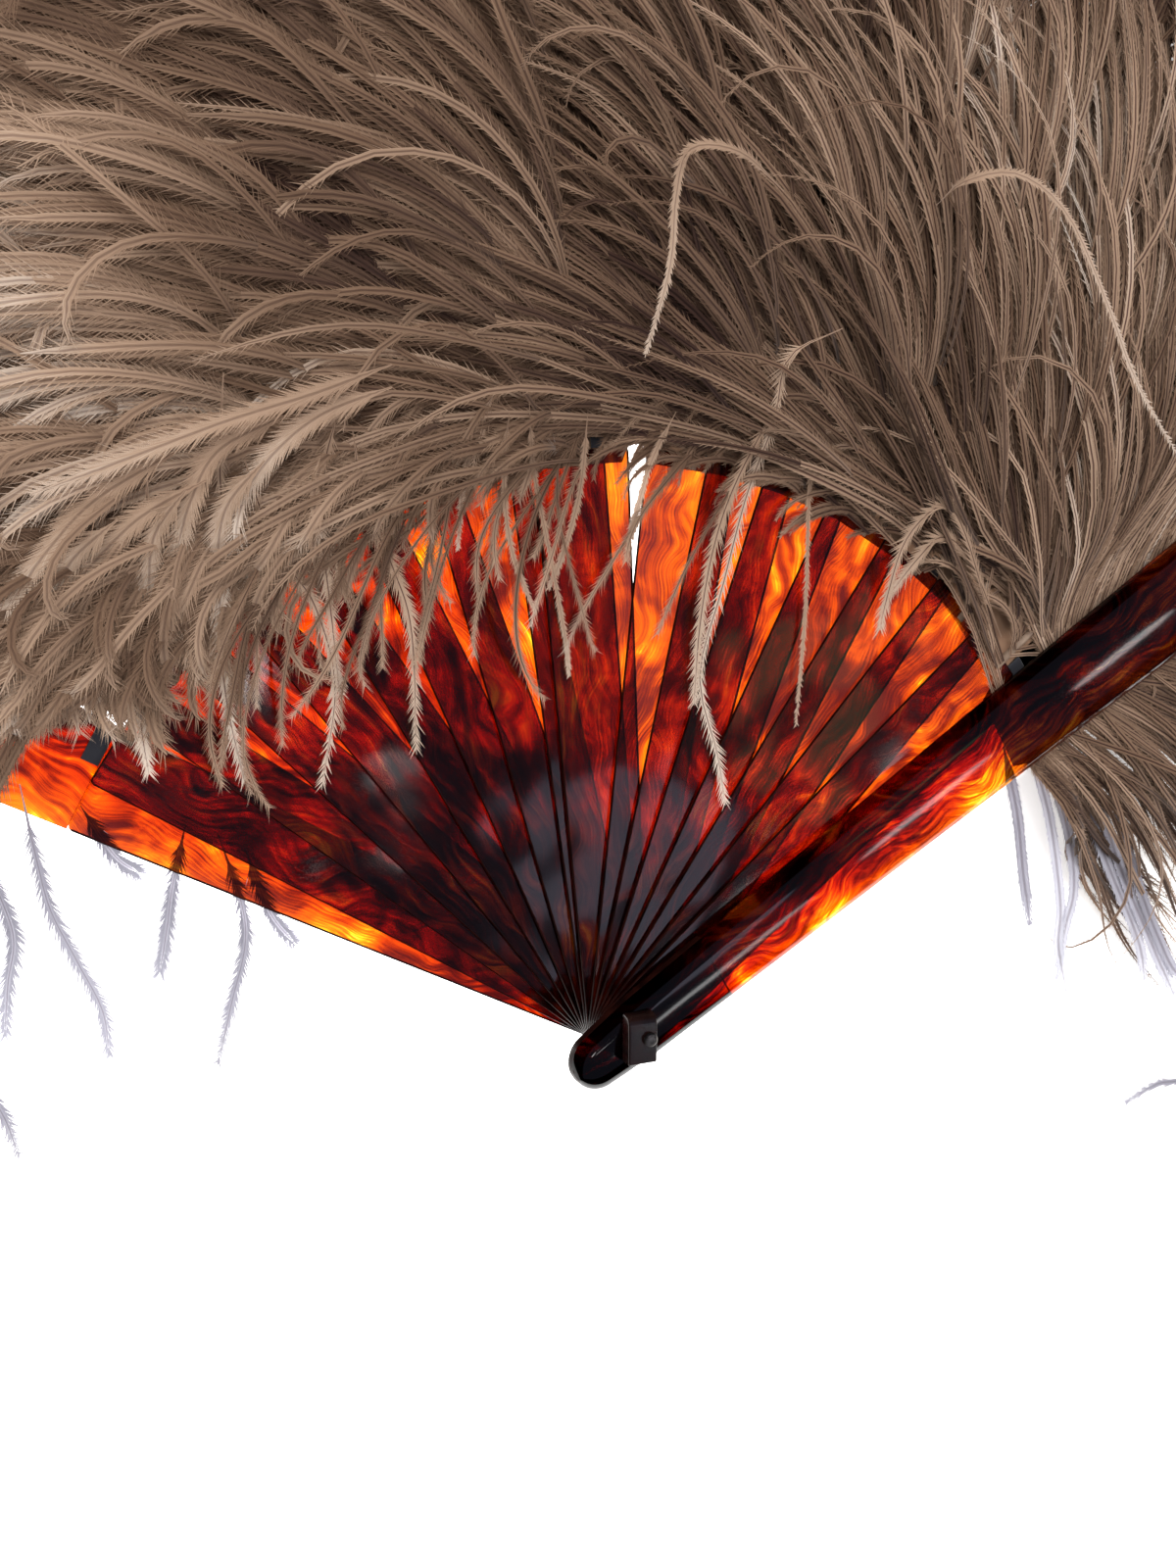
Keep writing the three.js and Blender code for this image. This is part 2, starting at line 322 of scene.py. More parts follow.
# The depth of colour follows the thickness attribute, and the clouds scatter a little light of their own
def shellMaterial(name, depth, darker, bodyShare, bow, gloss):
    look = shellLook
    material, tree = newMaterial(name)
    uv = addNode(tree, "ShaderNodeUVMap", {"uv_map": "grain"})
    fold = addNode(tree, "ShaderNodeTexNoise", {"Scale": 1000 / look["foldMm"], "Detail": 2.0},
                   {"Vector": uv.outputs[0]})
    push = addNode(tree, "ShaderNodeVectorMath",
                   {"operation": "MULTIPLY_ADD", 1: [look["foldPushMm"] * mm] * 3},
                   {0: fold.outputs["Color"], 2: uv.outputs[0]})
    cloud = addNode(tree, "ShaderNodeTexNoise",
                    {"Scale": 1000 / look["cloudMm"], "Detail": 4.0, "Roughness": 0.55},
                    {"Vector": push.outputs[0]})
    flameScale = [1000 / size for size in look["flameMm"]]
    stretch = addNode(tree, "ShaderNodeMapping",
                      {"Rotation": (0, 0, look["flameTurn"]), "Scale": (*flameScale, 1)},
                      {"Vector": push.outputs[0]})
    flame = addNode(tree, "ShaderNodeTexNoise",
                    {"Scale": 1.0, "Detail": 6.0, "Roughness": 0.62, "Distortion": 0.8},
                    {"Vector": stretch.outputs[0]})
    both = addNode(tree, "ShaderNodeMix", {0: look["flameShare"]},
                   {2: cloud.outputs["Fac"], 3: flame.outputs["Fac"]})
    level = addNode(tree, "ShaderNodeMapRange",
                    {"From Min": look["darkest"] + darker, "From Max": look["lightest"] + darker},
                    {"Value": both.outputs[0]})
    tint = addNode(tree, "ShaderNodeValToRGB", {"stops": rampStops(shellTints)}, {"Fac": level.outputs[0]})
    thick = addNode(tree, "ShaderNodeAttribute", {"attribute_name": "thickness"})
    power = addNode(tree, "ShaderNodeMath", {"operation": "MULTIPLY", 1: depth}, {0: thick.outputs["Fac"]})
    deep = addNode(tree, "ShaderNodeGamma", {}, {"Color": tint.outputs["Color"], "Gamma": power.outputs[0]})
    clear = addNode(tree, "ShaderNodeBsdfTransparent", {}, {"Color": deep.outputs[0]})
    cloudy = addNode(tree, "ShaderNodeValToRGB", {"stops": rampStops(shellBody)}, {"Fac": level.outputs[0]})
    leastDull, moreDull = look["dulling"]
    dulling = addNode(tree, "ShaderNodeMath", {"operation": "MULTIPLY_ADD", 1: moreDull, 2: leastDull},
                      {0: thick.outputs["Fac"]})
    dulled = addNode(tree, "ShaderNodeGamma", {},
                     {"Color": cloudy.outputs["Color"], "Gamma": dulling.outputs[0]})
    body = addNode(tree, "ShaderNodeBsdfDiffuse", {}, {"Color": dulled.outputs[0]})
    inner = addNode(tree, "ShaderNodeMixShader", {0: bodyShare}, {1: clear.outputs[0], 2: body.outputs[0]})
    warp = addNode(tree, "ShaderNodeTexNoise", {"Scale": 1000 / look["bowMm"], "Detail": 1.0},
                   {"Vector": uv.outputs[0]})
    bump = addNode(tree, "ShaderNodeBump", {"Strength": bow, "Distance": look["bowDepth"]},
                   {"Height": warp.outputs["Fac"]})
    polish = addNode(tree, "ShaderNodeBsdfGlossy", {"Roughness": gloss}, {"Normal": bump.outputs[0]})
    shine = addNode(tree, "ShaderNodeFresnel", {"IOR": look["ior"]}, {"Normal": bump.outputs[0]})
    outer = addNode(tree, "ShaderNodeMixShader", {},
                    {0: shine.outputs[0], 1: inner.outputs[0], 2: polish.outputs[0]})
    finishMaterial(tree, outer.outputs[0])
    return material


shellSheet = shellMaterial("cast tortoiseshell sheet, polished", depth=0.5, darker=0.0, bodyShare=0.14,
                           bow=0.6, gloss=0.08)
shellThick = shellMaterial("thick tortoiseshell bar, polished", depth=0.55, darker=-0.03, bodyShare=0.16,
                           bow=0.04, gloss=0.05)
shellEdgeShade = mottledMaterial("polished tortoiseshell edge, painted shade", edgeShadeLook, "grain")


def placePiece(name, bm, angle, materials, body, replaced):
    bmesh.ops.rotate(bm, cent=(0, 0, 0), matrix=Matrix.Rotation(angle, 3, "Z"), verts=bm.verts)
    obj = linkMesh(meshFrom(name, bm), materials)
    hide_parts(*replaced)
    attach(obj, body)
    return obj


# Blades, in metres. The depth lists are how much deeper than plain sheet the colour is.
blade = {
    "length": 0.160, "pivotHalf": 0.0096, "taper": math.radians(1.66), "corner": 0.0012, "cornerShare": 0.3,
    "bore": 0.0017, "boreSteps": 24, "edge": 0.00048, "flatLimit": 0.97, "headSteps": 20,
    "guardLength": 0.246, "guardEnd": 0.012, "endSteps": 16, "stations": (0.010, 0.022, 0.038, 0.060, 0.095),
    "grainStep": (0.37, 0.11), "wallGrain": 0.5, "headDepth": 2.0, "headFade": 0.026,
    "stickDepth": [(5, 0.55), (8, -0.05), (11, -0.05), (12, 0.1)],
}


# Lays the sheet's grain along a blade that still lies along X. Near the pivot the blades overlap more,
# and each is given more depth of colour there: partly its thicker head, partly painted shade of the deep
# stack.
def layGrain(bm, shift, thicker=0.0):
    grain = bm.loops.layers.uv.new("grain")
    for face in bm.faces:
        for loop in face.loops:
            x, y, z = loop.vert.co
            loop[grain].uv = (x + shift[0], y + shift[1] + blade["wallGrain"] * z)
    thickness = bm.verts.layers.float.get("thickness") or bm.verts.layers.float.new("thickness")
    for vert in bm.verts:
        # Deeper colour towards the head: partly thickness, partly painted shade of the stack at the pivot
        head = blade["headDepth"] * math.exp(-max(vert.co.x, 0) / blade["headFade"])
        vert[thickness] = (vert[thickness] or 1.0) + thicker + head


def bladeHalf(along):
    return blade["pivotHalf"] + along * math.tan(blade["taper"])


def ringEdges(bm, points):
    verts = [bm.verts.new((x, y, 0)) for x, y in points]
    return [bm.edges.new((a, b)) for a, b in zip(verts, verts[1:] + verts[:1])]


def headArc(centre, radius):
    steps = blade["headSteps"]
    turns = [math.pi / 2 + math.pi * i / steps for i in range(steps + 1)]
    return [(centre + radius * math.cos(a), radius * math.sin(a)) for a in turns]


def squareTip(length):
    half, cut = bladeHalf(length), blade["corner"]
    inner, bit = length - cut, cut * blade["cornerShare"]
    lower = [(inner, -bladeHalf(inner)), (length - bit, -half + bit), (length, -half + cut)]
    return lower + [(x, -y) for x, y in reversed(lower)]


def roundTip(length):
    start = length - blade["guardEnd"]
    half = bladeHalf(start)
    steps = blade["endSteps"]
    turns = [-math.pi / 2 + math.pi * i / steps for i in range(steps + 1)]
    return [(start + blade["guardEnd"] * math.cos(a), half * math.sin(a)) for a in turns]


# The straight edges have points along them, because the sheet's depth of colour changes near the pivot
def edgePoints(side):
    points = [(x, side * bladeHalf(x)) for x in blade["stations"]]
    return points if side < 0 else points[::-1]


def bore():
    turns = [2 * math.pi * i / blade["boreSteps"] for i in range(blade["boreSteps"])]
    return [(blade["bore"] * math.cos(a), blade["bore"] * math.sin(a)) for a in turns]


def stickOutline():
    return headArc(0, blade["pivotHalf"]) + edgePoints(-1) + squareTip(blade["length"]) + edgePoints(1)


def slab(outlines, zLow, zHigh):
    bm = bmesh.new()
    edges = [edge for outline in outlines for edge in ringEdges(bm, outline)]
    bmesh.ops.triangle_fill(bm, edges=edges, use_beauty=True)
    bmesh.ops.translate(bm, vec=(0, 0, zLow), verts=bm.verts)
    raised = bmesh.ops.extrude_face_region(bm, geom=bm.faces[:])["geom"]
    upper = [v for v in raised if isinstance(v, bmesh.types.BMVert)]
    bmesh.ops.translate(bm, vec=(0, 0, zHigh - zLow), verts=upper)
    bmesh.ops.recalc_face_normals(bm, faces=bm.faces)
    return bm


def roundEdges(bm, width, segments=2, least=1.0):
    sharp = [e for e in bm.edges if len(e.link_faces) == 2 and e.calc_face_angle() > least]
    bmesh.ops.bevel(bm, geom=sharp, offset=width, offset_type="OFFSET", segments=segments, profile=0.5,
                    affect="EDGES", material=-1, clamp_overlap=True)


# Faces that aren't flat take the edge finish, painted near black as shade
def paintEdgeShade(bm):
    for face in bm.faces:
        face.material_index = 0 if abs(face.normal.z) > blade["flatLimit"] else 1


def makeStick(name, index):
    low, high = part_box(name)
    bm = slab([stickOutline(), bore()], low[2], high[2])
    roundEdges(bm, blade["edge"])
    paintEdgeShade(bm)
    layGrain(bm, [step * index for step in blade["grainStep"]], between(index, blade["stickDepth"]))
    placePiece("blade." + name, bm, stickAngle(name), [shellSheet, shellEdgeShade], "blade_" + name[-2:], [name])


for index, name in enumerate(stickNames):
    makeStick(name, index + 1)
print("sticks made")


# The rear guard is as thick as a stick up to its step, and thinner past it, under its plume.
# Its lower edge is the bright one.
rearGuard = {"seatGap": 0.0005, "stepReach": 0.001, "depth": 1.55, "depthSlope": 0.65, "grain": (0.05, 0.03)}


def makeRearGuard():
    spec = rearGuard
    low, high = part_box("rear_guard")
    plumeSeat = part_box("rear_tab")[0][2] - spec["seatGap"]
    bm = slab([stickOutline(), bore()], low[2], high[2])
    step, half = blade["length"], bladeHalf(blade["length"])
    far = slab([[(step, -half)] + roundTip(blade["guardLength"]) + [(step, half)]], low[2], plumeSeat)
    lump = meshFrom("farEnd", far)
    roundEdges(bm, blade["edge"])
    bm.from_mesh(lump)
    bpy.data.meshes.remove(lump)
    paintEdgeShade(bm)
    for face in bm.faces:
        if abs(face.calc_center_median().x - step) < spec["stepReach"]:
            face.material_index = 0
    thickness = bm.verts.layers.float.new("thickness")
    for vert in bm.verts:
        vert[thickness] = spec["depth"] - spec["depthSlope"] * vert.co.y / bladeHalf(max(vert.co.x, 0))
    layGrain(bm, spec["grain"])
    placePiece("blade.rear_guard", bm, rearAngle, [shellSheet, shellEdgeShade], rearBody, ["rear_guard"])


frontGuard = {
    "tail": 0.0137, "headRadius": 0.0082, "wall": 0.0013, "rise": 0.0027, "run": 0.0050, "crown": 0.0004,
    "shoulder": 0.85, "land": 0.030, "landDrop": 0.0013, "landStep": 0.0001, "leastHalf": 0.0004,
    "headStations": 12, "stations": 26, "columns": 25, "smoothLimit": 0.7, "steepLimit": 0.3,
    "depth": (0.7, 3.0), "depthRun": 0.015, "depthPower": 1.6, "edgeDepth": (0.8, 3.8), "grain": (0.71, 0.23),
    "headDepth": 28.0, "headStart": 0.004, "headFade": 0.007,
}


# Half-width of the front guard along its length: a round head, a slow flare and a round far end
def guardHalf(along):
    spec = frontGuard
    if along < -spec["tail"]:
        return math.sqrt(max(spec["headRadius"] ** 2 - (along + spec["tail"]) ** 2, 0))
    if along < 0:
        return spec["headRadius"] + (bladeHalf(0) - spec["headRadius"]) * (1 + along / spec["tail"])
    start = blade["guardLength"] - blade["guardEnd"]
    if along < start:
        return bladeHalf(along)
    return bladeHalf(start) * math.sqrt(max(1 - ((along - start) / blade["guardEnd"]) ** 2, 0))


def guardStations():
    spec = frontGuard
    turns = [math.pi * i / (2 * spec["headStations"]) for i in range(1, spec["headStations"] + 1)]
    head = [-spec["tail"] - spec["headRadius"] * math.cos(a) for a in turns]
    start = blade["guardLength"] - blade["guardEnd"]
    middle = [start * i / spec["stations"] for i in range(spec["stations"] + 1)]
    far = [start + blade["guardEnd"] * math.sin(a) for a in turns[:-1]]
    return head + sorted(middle + [spec["land"] - spec["landStep"], spec["land"]]) + far


# The head's colour is made much deeper, near black
def guardHead(along):
    spec = frontGuard
    return spec["headDepth"] * math.exp(-max(along + spec["headStart"], 0) / spec["headFade"])


def makeFrontGuard():
    spec = frontGuard
    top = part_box("front_guard")[1][2]
    back = top - spec["wall"] - spec["rise"] - spec["crown"]
    bm = bmesh.new()
    thickness = bm.verts.layers.float.new("thickness")
    thin, gain = spec["depth"]
    rings = []
    for along in guardStations():
        half = max(guardHalf(along), spec["leastHalf"])
        under = back - (spec["landDrop"] if along < spec["land"] else 0)
        ring = [bm.verts.new((along, -half, under))]
        for i in range(spec["columns"]):
            across = -math.cos(math.pi * i / (spec["columns"] - 1)) * half
            slope = min((half - abs(across)) / spec["run"], 1.0)
            shoulder = math.sin(slope * math.pi / 2) ** spec["shoulder"]
            swell = spec["crown"] * (1 - (across / half) ** 2) * min(half / bladeHalf(0), 1)
            ring.append(bm.verts.new((along, across, back + spec["wall"] + spec["rise"] * shoulder + swell)))
            deeper = min((across + half) / spec["depthRun"], 1.0) ** spec["depthPower"]
            ring[-1][thickness] = thin + gain * deeper + guardHead(along)
        ring.append(bm.verts.new((along, half, under)))
        ring[0][thickness], ring[-1][thickness] = spec["edgeDepth"]
        rings.append(ring)
    for a, b in zip(rings, rings[1:]):
        for i in range(len(a)):
            bm.faces.new((a[i], a[i - 1], b[i - 1], b[i]))
    for end in (rings[0], rings[-1]):
        bmesh.ops.contextual_create(bm, geom=end)
    bmesh.ops.recalc_face_normals(bm, faces=bm.faces)
    for edge in bm.edges:
        edge.smooth = edge.calc_face_angle(0) < spec["smoothLimit"]
    # Steep faces towards the head take the edge finish too, painted near black as shade
    for face in bm.faces:
        steep = abs(face.normal.z) < spec["steepLimit"] and face.calc_center_median().x < spec["land"]
        face.material_index = 1 if steep else 0
    layGrain(bm, spec["grain"])
    obj = placePiece("blade.front_guard", bm, frontAngle, [shellThick, shellEdgeShade], frontBody, ["front_guard"])
    smoothFaces(obj.data)


makeRearGuard()
makeFrontGuard()
print("guards made")


# Ostrich plumes: a horny quill with rows of long soft barbs that leave it at a slant, arch, and droop at the
# ends. Neighbouring barbs draw together into locks, and each carries a fringe of fine barbules.
# In a list of pairs the first number is the plume's place, from 0 at the front guard to 1 at the rear one.
plume = {
    "start": 0.156, "frontStart": 0.147, "end": 0.412, "points": 40, "bend": 0.10, "seat": 0.0006,
    "riseStart": 0.258, "riseEnd": 0.430, "rise": 0.052, "risePower": 1.8,
    "quillRadius": 0.0013, "quillThinning": 0.8, "quillSides": 7, "quillStep": 3, "rearQuillFrom": 5,
    "least": (-0.402, -0.030), "most": (0.396, 0.446), "top": 0.084, "folded": 0.12, "foldedFront": 0.22,
    "firstSeed": 100, "frontSeed": 140, "withoutDown": ("rear_plume", "plume_01"),
}
# Places, in metres on the open fan, where the barbs are made paler or darker:
# each with its size and the change of tone
patches = [
    ((-0.150, 0.205), 0.028, 0.16), ((-0.160, 0.178), 0.025, 0.16), ((-0.098, 0.155), 0.026, 0.16),
    ((-0.131, 0.144), 0.030, 0.10), ((0.132, 0.253), 0.030, 0.26), ((0.100, 0.270), 0.014, 0.30),
    ((0.155, 0.210), 0.040, 0.20), ((0.003, 0.190), 0.030, -0.10), ((-0.060, 0.240), 0.060, -0.05),
]


def patchTone(paths):
    total = np.zeros(paths.shape[:2])
    for (x, y), size, amount in patches:
        total += amount * np.exp(-((paths[..., 0] - x) ** 2 + (paths[..., 1] - y) ** 2) / size ** 2)
    return total


# Dyed ostrich barb: taupe, soft and matt, with a dark hair line of shaft between two pale rows of barbules,
# and thin enough for some light to come through
barbTints = [(0.06, "#3c2922"), (0.36, "#775d4a"), (0.66, "#ad917a"), (1.0, "#e6dacc")]
# Paler, bluer tints for the loose barbs over the floor: painted light of the floor glowing through them
backlitPaleTints = [(0.06, "#55525a"), (0.36, "#85828c"), (0.66, "#b9b7c2"), (1.0, "#eeeef4")]
barbLook = {
    "rows": 85.0, "slant": -18.0, "rowShare": 0.42, "through": 0.3,
    "shaft": [(0.07, "#806e73"), (0.20, "#ffffff")],
}
# Horn, scraped clean: dull brown, a little shiny
quillLook = {
    "mottleMm": 5.0, "detail": 2.0, "tints": [(0.3, "#5c4a3e"), (0.7, "#8a7563")],
    "finish": {"Roughness": 0.4},
}


def barbMaterial(name, tints):
    material, tree = newMaterial(name)
    look = barbLook
    uv = addNode(tree, "ShaderNodeUVMap", {"uv_map": "strand"})
    tone = addNode(tree, "ShaderNodeAttribute", {"attribute_name": "tone"})
    split = addNode(tree, "ShaderNodeSeparateXYZ", {}, {0: uv.outputs[0]})
    off = addNode(tree, "ShaderNodeMath", {"operation": "SUBTRACT", 1: 0.5}, {0: split.outputs[0]})
    away = addNode(tree, "ShaderNodeMath", {"operation": "ABSOLUTE"}, {0: off.outputs[0]})
    along = addNode(tree, "ShaderNodeMath", {"operation": "MULTIPLY", 1: look["rows"]}, {0: split.outputs[1]})
    slanted = addNode(tree, "ShaderNodeMath", {"operation": "MULTIPLY_ADD", 1: look["slant"]},
                      {0: away.outputs[0], 2: along.outputs[0]})
    place = addNode(tree, "ShaderNodeCombineXYZ", {}, {0: off.outputs[0], 1: slanted.outputs[0]})
    rows = addNode(tree, "ShaderNodeTexNoise", {"Scale": 1.0, "Detail": 1.0}, {"Vector": place.outputs[0]})
    shade = addNode(tree, "ShaderNodeMath", {"operation": "MULTIPLY_ADD", 1: look["rowShare"]},
                    {0: rows.outputs["Fac"], 2: tone.outputs["Fac"]})
    colour = addNode(tree, "ShaderNodeValToRGB", {"stops": rampStops(tints)}, {"Fac": shade.outputs[0]})
    shaft = addNode(tree, "ShaderNodeValToRGB", {"stops": rampStops(look["shaft"])}, {"Fac": away.outputs[0]})
    line = addNode(tree, "ShaderNodeAttribute", {"attribute_name": "line"})
    lined = addNode(tree, "ShaderNodeMix", {"data_type": "RGBA", "blend_type": "MULTIPLY"},
                    {0: line.outputs["Fac"], 6: colour.outputs[0], 7: shaft.outputs[0]})
    shader = addNode(tree, "ShaderNodeBsdfPrincipled",
                     {"Roughness": 0.7, "Specular IOR Level": 0.25,
                      "Sheen Weight": 0.4, "Sheen Roughness": 0.4},
                     {"Base Color": lined.outputs[2]})
    through = addNode(tree, "ShaderNodeBsdfTranslucent", {}, {"Color": lined.outputs[2]})
    soft = addNode(tree, "ShaderNodeMixShader", {0: look["through"]},
                   {1: shader.outputs[0], 2: through.outputs[0]})
    finishMaterial(tree, soft.outputs[0])
    return material


barbFibre = barbMaterial("dyed ostrich barb, combed", barbTints)
barbPaintedBacklit = barbMaterial("ostrich barb, loose, paler for painted backlight", backlitPaleTints)
quillHorn = mottledMaterial("horn quill, scraped", quillLook)


def plumeRise(radius):
    share = (radius - plume["riseStart"]) / (plume["riseEnd"] - plume["riseStart"])
    return plume["rise"] * np.clip(share, 0, None) ** plume["risePower"]


# What the drooping barbs lie on and pass under: the stair of blades, the floor and the front guard
ground = {
    "lead": 7.0, "lowest": 0.0030, "stair": 0.0208, "floor": 0.0012, "reach": 0.166,
    "ceiling": 0.0226, "guardHalf": 0.0150, "guardPast": 0.005, "besideSlope": 0.9,
}


def bladeTop(x, y, reach=ground["reach"]):
    angle = np.degrees(np.arctan2(y, x))
    share = np.clip((math.degrees(rearAngle) + ground["lead"] - angle) / math.degrees(foldTop), 0, 1)
    inside = np.hypot(x, y) < reach
    return np.where(inside, ground["lowest"] + share * ground["stair"], ground["floor"])


# Height of the front guard's back above a point: barbs pass under the guard and may rise beside it
def guardCeiling(x, y):
    along = x * math.cos(frontAngle) + y * math.sin(frontAngle)
    across = np.abs(y * math.cos(frontAngle) - x * math.sin(frontAngle))
    beside = across - (ground["guardHalf"] + along * math.tan(blade["taper"]))
    away = np.maximum(beside, along - blade["guardLength"] - ground["guardPast"])
    return ground["ceiling"] + ground["besideSlope"] * np.maximum(away, 0)


# Barbules: one slim triangle each, leaving the barb forwards and outwards. The softer plumes
# at the back add what is named fluff.
barbule = {
    "reachMm": (2.2, 4.0), "fluffMm": (1.4, 1.8), "outward": 0.45, "fluffOutward": 0.1, "tipShare": 0.35,
    "fluffTip": 0.5, "footMm": 0.5, "first": 0.10, "last": 0.985, "limit": 0.99, "jitter": 0.4,
    "rootShare": 0.85, "rise": 0.08, "spread": (0.5, 1.3), "paler": 0.03,
    "map": [[0.2, 0.0], [0.2, 0.1], [0.2, 0.4]], "mapStep": 0.37, "mapLength": 3,
}
tiny = 1e-12  # keeps a strand of no length from dividing by nothing


# Flat ribbons for the barbs, each with its fringe of barbules
def strandMesh(paths, halfWidths, rolls, tones, rng, fringe, reachMm, outward, footMm=barbule["footMm"],
               tipShare=barbule["tipShare"], line=1.0):
    count, steps, _ = paths.shape
    tangent = np.gradient(paths, axis=1)
    tangent /= np.linalg.norm(tangent, axis=2, keepdims=True) + tiny
    across = np.cross(tangent, np.array([0, 0, 1.0]))
    across /= np.linalg.norm(across, axis=2, keepdims=True) + tiny
    lift = np.cross(across, tangent)
    c, s = np.cos(rolls)[:, None, None], np.sin(rolls)[:, None, None]
    side = across * c + lift * s
    crown = lift * c - across * s
    wide = halfWidths[:, :, None]
    verts = np.stack([paths - side * wide, paths + side * wide], axis=2)
    base = np.arange(count * steps).reshape(count, steps)[:, :-1] * 2
    quads = np.stack([base, base + 1, base + 3, base + 2], -1).reshape(-1, 4)
    uv = np.empty((count, steps, 2, 2))
    uv[..., 0] = np.array([0.0, 1.0])
    mapStart = (np.arange(count) * barbule["mapStep"] % 1.0)[:, None, None] * barbule["mapLength"]
    uv[..., 1] = np.linspace(0, 1, steps)[None, :, None] + mapStart
    tone = np.repeat(tones[:, :, None], 2, axis=2).reshape(-1)
    verts, uv = verts.reshape(-1, 3), uv.reshape(-1, 2)
    which = np.repeat(np.arange(count), fringe)
    number = len(which)
    hand = np.where(np.arange(number) % 2, 1.0, -1.0)[:, None]
    at = np.tile(np.linspace(barbule["first"], barbule["last"], fringe), count)
    at = at + rng.uniform(-barbule["jitter"], barbule["jitter"], number) / fringe
    at = np.clip(at, 0, barbule["limit"]) * (steps - 1)
    low = at.astype(int)
    part = (at - low)[:, None]
    spot = paths[which, low] * (1 - part) + paths[which, low + 1] * part
    out = side[which, low] * hand
    ahead = tangent[which, low]
    spot = spot + out * wide[which, low] * barbule["rootShare"]
    shorter = 1 - (1 - tipShare) * (at[:, None] / (steps - 1)) ** 2
    reach = rng.uniform(*reachMm, number)[:, None] * mm * shorter
    rise = crown[which, low] * rng.normal(0, barbule["rise"], number)[:, None]
    tip = spot + reach * (ahead + out * outward * rng.uniform(*barbule["spread"], number)[:, None] + rise)
    foot = spot + ahead * footMm * mm
    tris = len(verts) + np.arange(number * 3).reshape(-1, 3)
    verts = np.concatenate([verts, np.stack([spot, foot, tip], 1).reshape(-1, 3)])
    uv = np.concatenate([uv, np.tile(barbule["map"], (number, 1))])
    tone = np.concatenate([tone, np.repeat(tones[which, low] + barbule["paler"], 3)])
    return verts, quads, tris, uv, tone, np.full(len(verts), line)


# One mesh from several lots of strands, with the place along a strand as a map and the tone as an attribute
def joinStrands(name, lots, material):
    firsts = np.cumsum([0] + [len(lot[0]) for lot in lots])
    verts = np.concatenate([lot[0] for lot in lots])
    quads = np.concatenate([lot[1] + first for lot, first in zip(lots, firsts)])
    tris = np.concatenate([lot[2] + first for lot, first in zip(lots, firsts)])
    corner = np.concatenate([quads.reshape(-1), tris.reshape(-1)])
    begin = np.concatenate([np.arange(len(quads)) * 4, len(quads) * 4 + np.arange(len(tris)) * 3])
    mesh = bpy.data.meshes.new(name)
    mesh.vertices.add(len(verts))
    mesh.vertices.foreach_set("co", verts.reshape(-1))
    mesh.loops.add(len(corner))
    mesh.loops.foreach_set("vertex_index", corner.astype(np.int32))
    mesh.polygons.add(len(begin))
    mesh.polygons.foreach_set("loop_start", begin.astype(np.int32))
    mesh.update(calc_edges=True)
    uv = np.concatenate([lot[3] for lot in lots])
    mesh.uv_layers.new(name="strand").data.foreach_set("uv", uv[corner].reshape(-1))
    for attribute, part in (("tone", 4), ("line", 5)):
        values = np.concatenate([lot[part] for lot in lots])
        mesh.attributes.new(attribute, "FLOAT", "POINT").data.foreach_set("value", values)
    smoothFaces(mesh)
    return linkMesh(mesh, [material])


# Barbs of one lock lean towards the middle of the lock, and more so towards their ends
def drawTogether(paths, size, strength):
    count = len(paths)
    starts = np.arange(0, count, size)
    sizes = np.diff(np.append(starts, count))
    means = np.add.reduceat(paths, starts, axis=0) / sizes[:, None, None]
    pull = np.repeat(strength[:len(starts)], sizes)[:, None, None]
    t = np.linspace(0, 1, paths.shape[1])[None, :, None]
    return paths + (np.repeat(means, sizes, axis=0) - paths) * pull * t ** barb["pullBow"]


# Paths walked from the quill outwards: phi is the turn away from the quill in plan, psi the climb
def walk(start, run, side, phi, psi, length):
    plan = run[:, None] + side * phi
    step = (length / (phi.shape[1] - 1))[:, None, None]
    move = np.stack([np.cos(psi) * np.cos(plan), np.cos(psi) * np.sin(plan), np.sin(psi)], 2) * step
    return start[:, None, :] + np.cumsum(move, axis=1) - move[:, :1]


def sweep(first, last, share):
    return first[:, None] + (last - first)[:, None] * share


# Angles in degrees around a middle value, as radians
def around(rng, middleScatter, n):
    middle, scatter = middleScatter
    return np.radians(middle + scatter * rng.normal(0, 1, n))


def alongQuill(values, root):
    return np.interp(root, np.linspace(0, 1, len(values)), values)


def quillSpots(quill, root):
    return np.stack([alongQuill(quill[:, i], root) for i in range(3)], 1)


# Where the barbs end beside the blades: (degrees, radius) along the blades' tips
barbRest = {
    "from": 30, "scatter": 0.004, "soft": 0.006, "rest": (0.0003, 0.004), "smoothings": 3,
    "edge": [(30, 0.173), (45, 0.172), (52, 0.164), (65, 0.160), (130, 0.161), (142, 0.170), (150, 0.178)],
}
fullTurn = 6.28  # radians, where a wave may start


# Bends barbs that would cover the blades so that they run along the blades' tips instead
def edgeOff(paths, rng, free):
    radius = np.hypot(paths[..., 0], paths[..., 1])
    angle = np.degrees(np.arctan2(paths[..., 1], paths[..., 0]))
    least = between(angle, barbRest["edge"]) + np.abs(rng.normal(0, barbRest["scatter"], len(paths)))[:, None]
    soft = barbRest["soft"]
    wanted = least + soft * np.log1p(np.exp((radius - least) / soft))
    reach = np.where(angle < barbRest["from"], radius, wanted)
    kept = (rng.uniform(0, 1, len(paths)) < free)[:, None]
    scale = np.where(kept, 1.0, reach / radius)
    paths[..., :2] = paths[..., :2] * scale[..., None]
    return paths


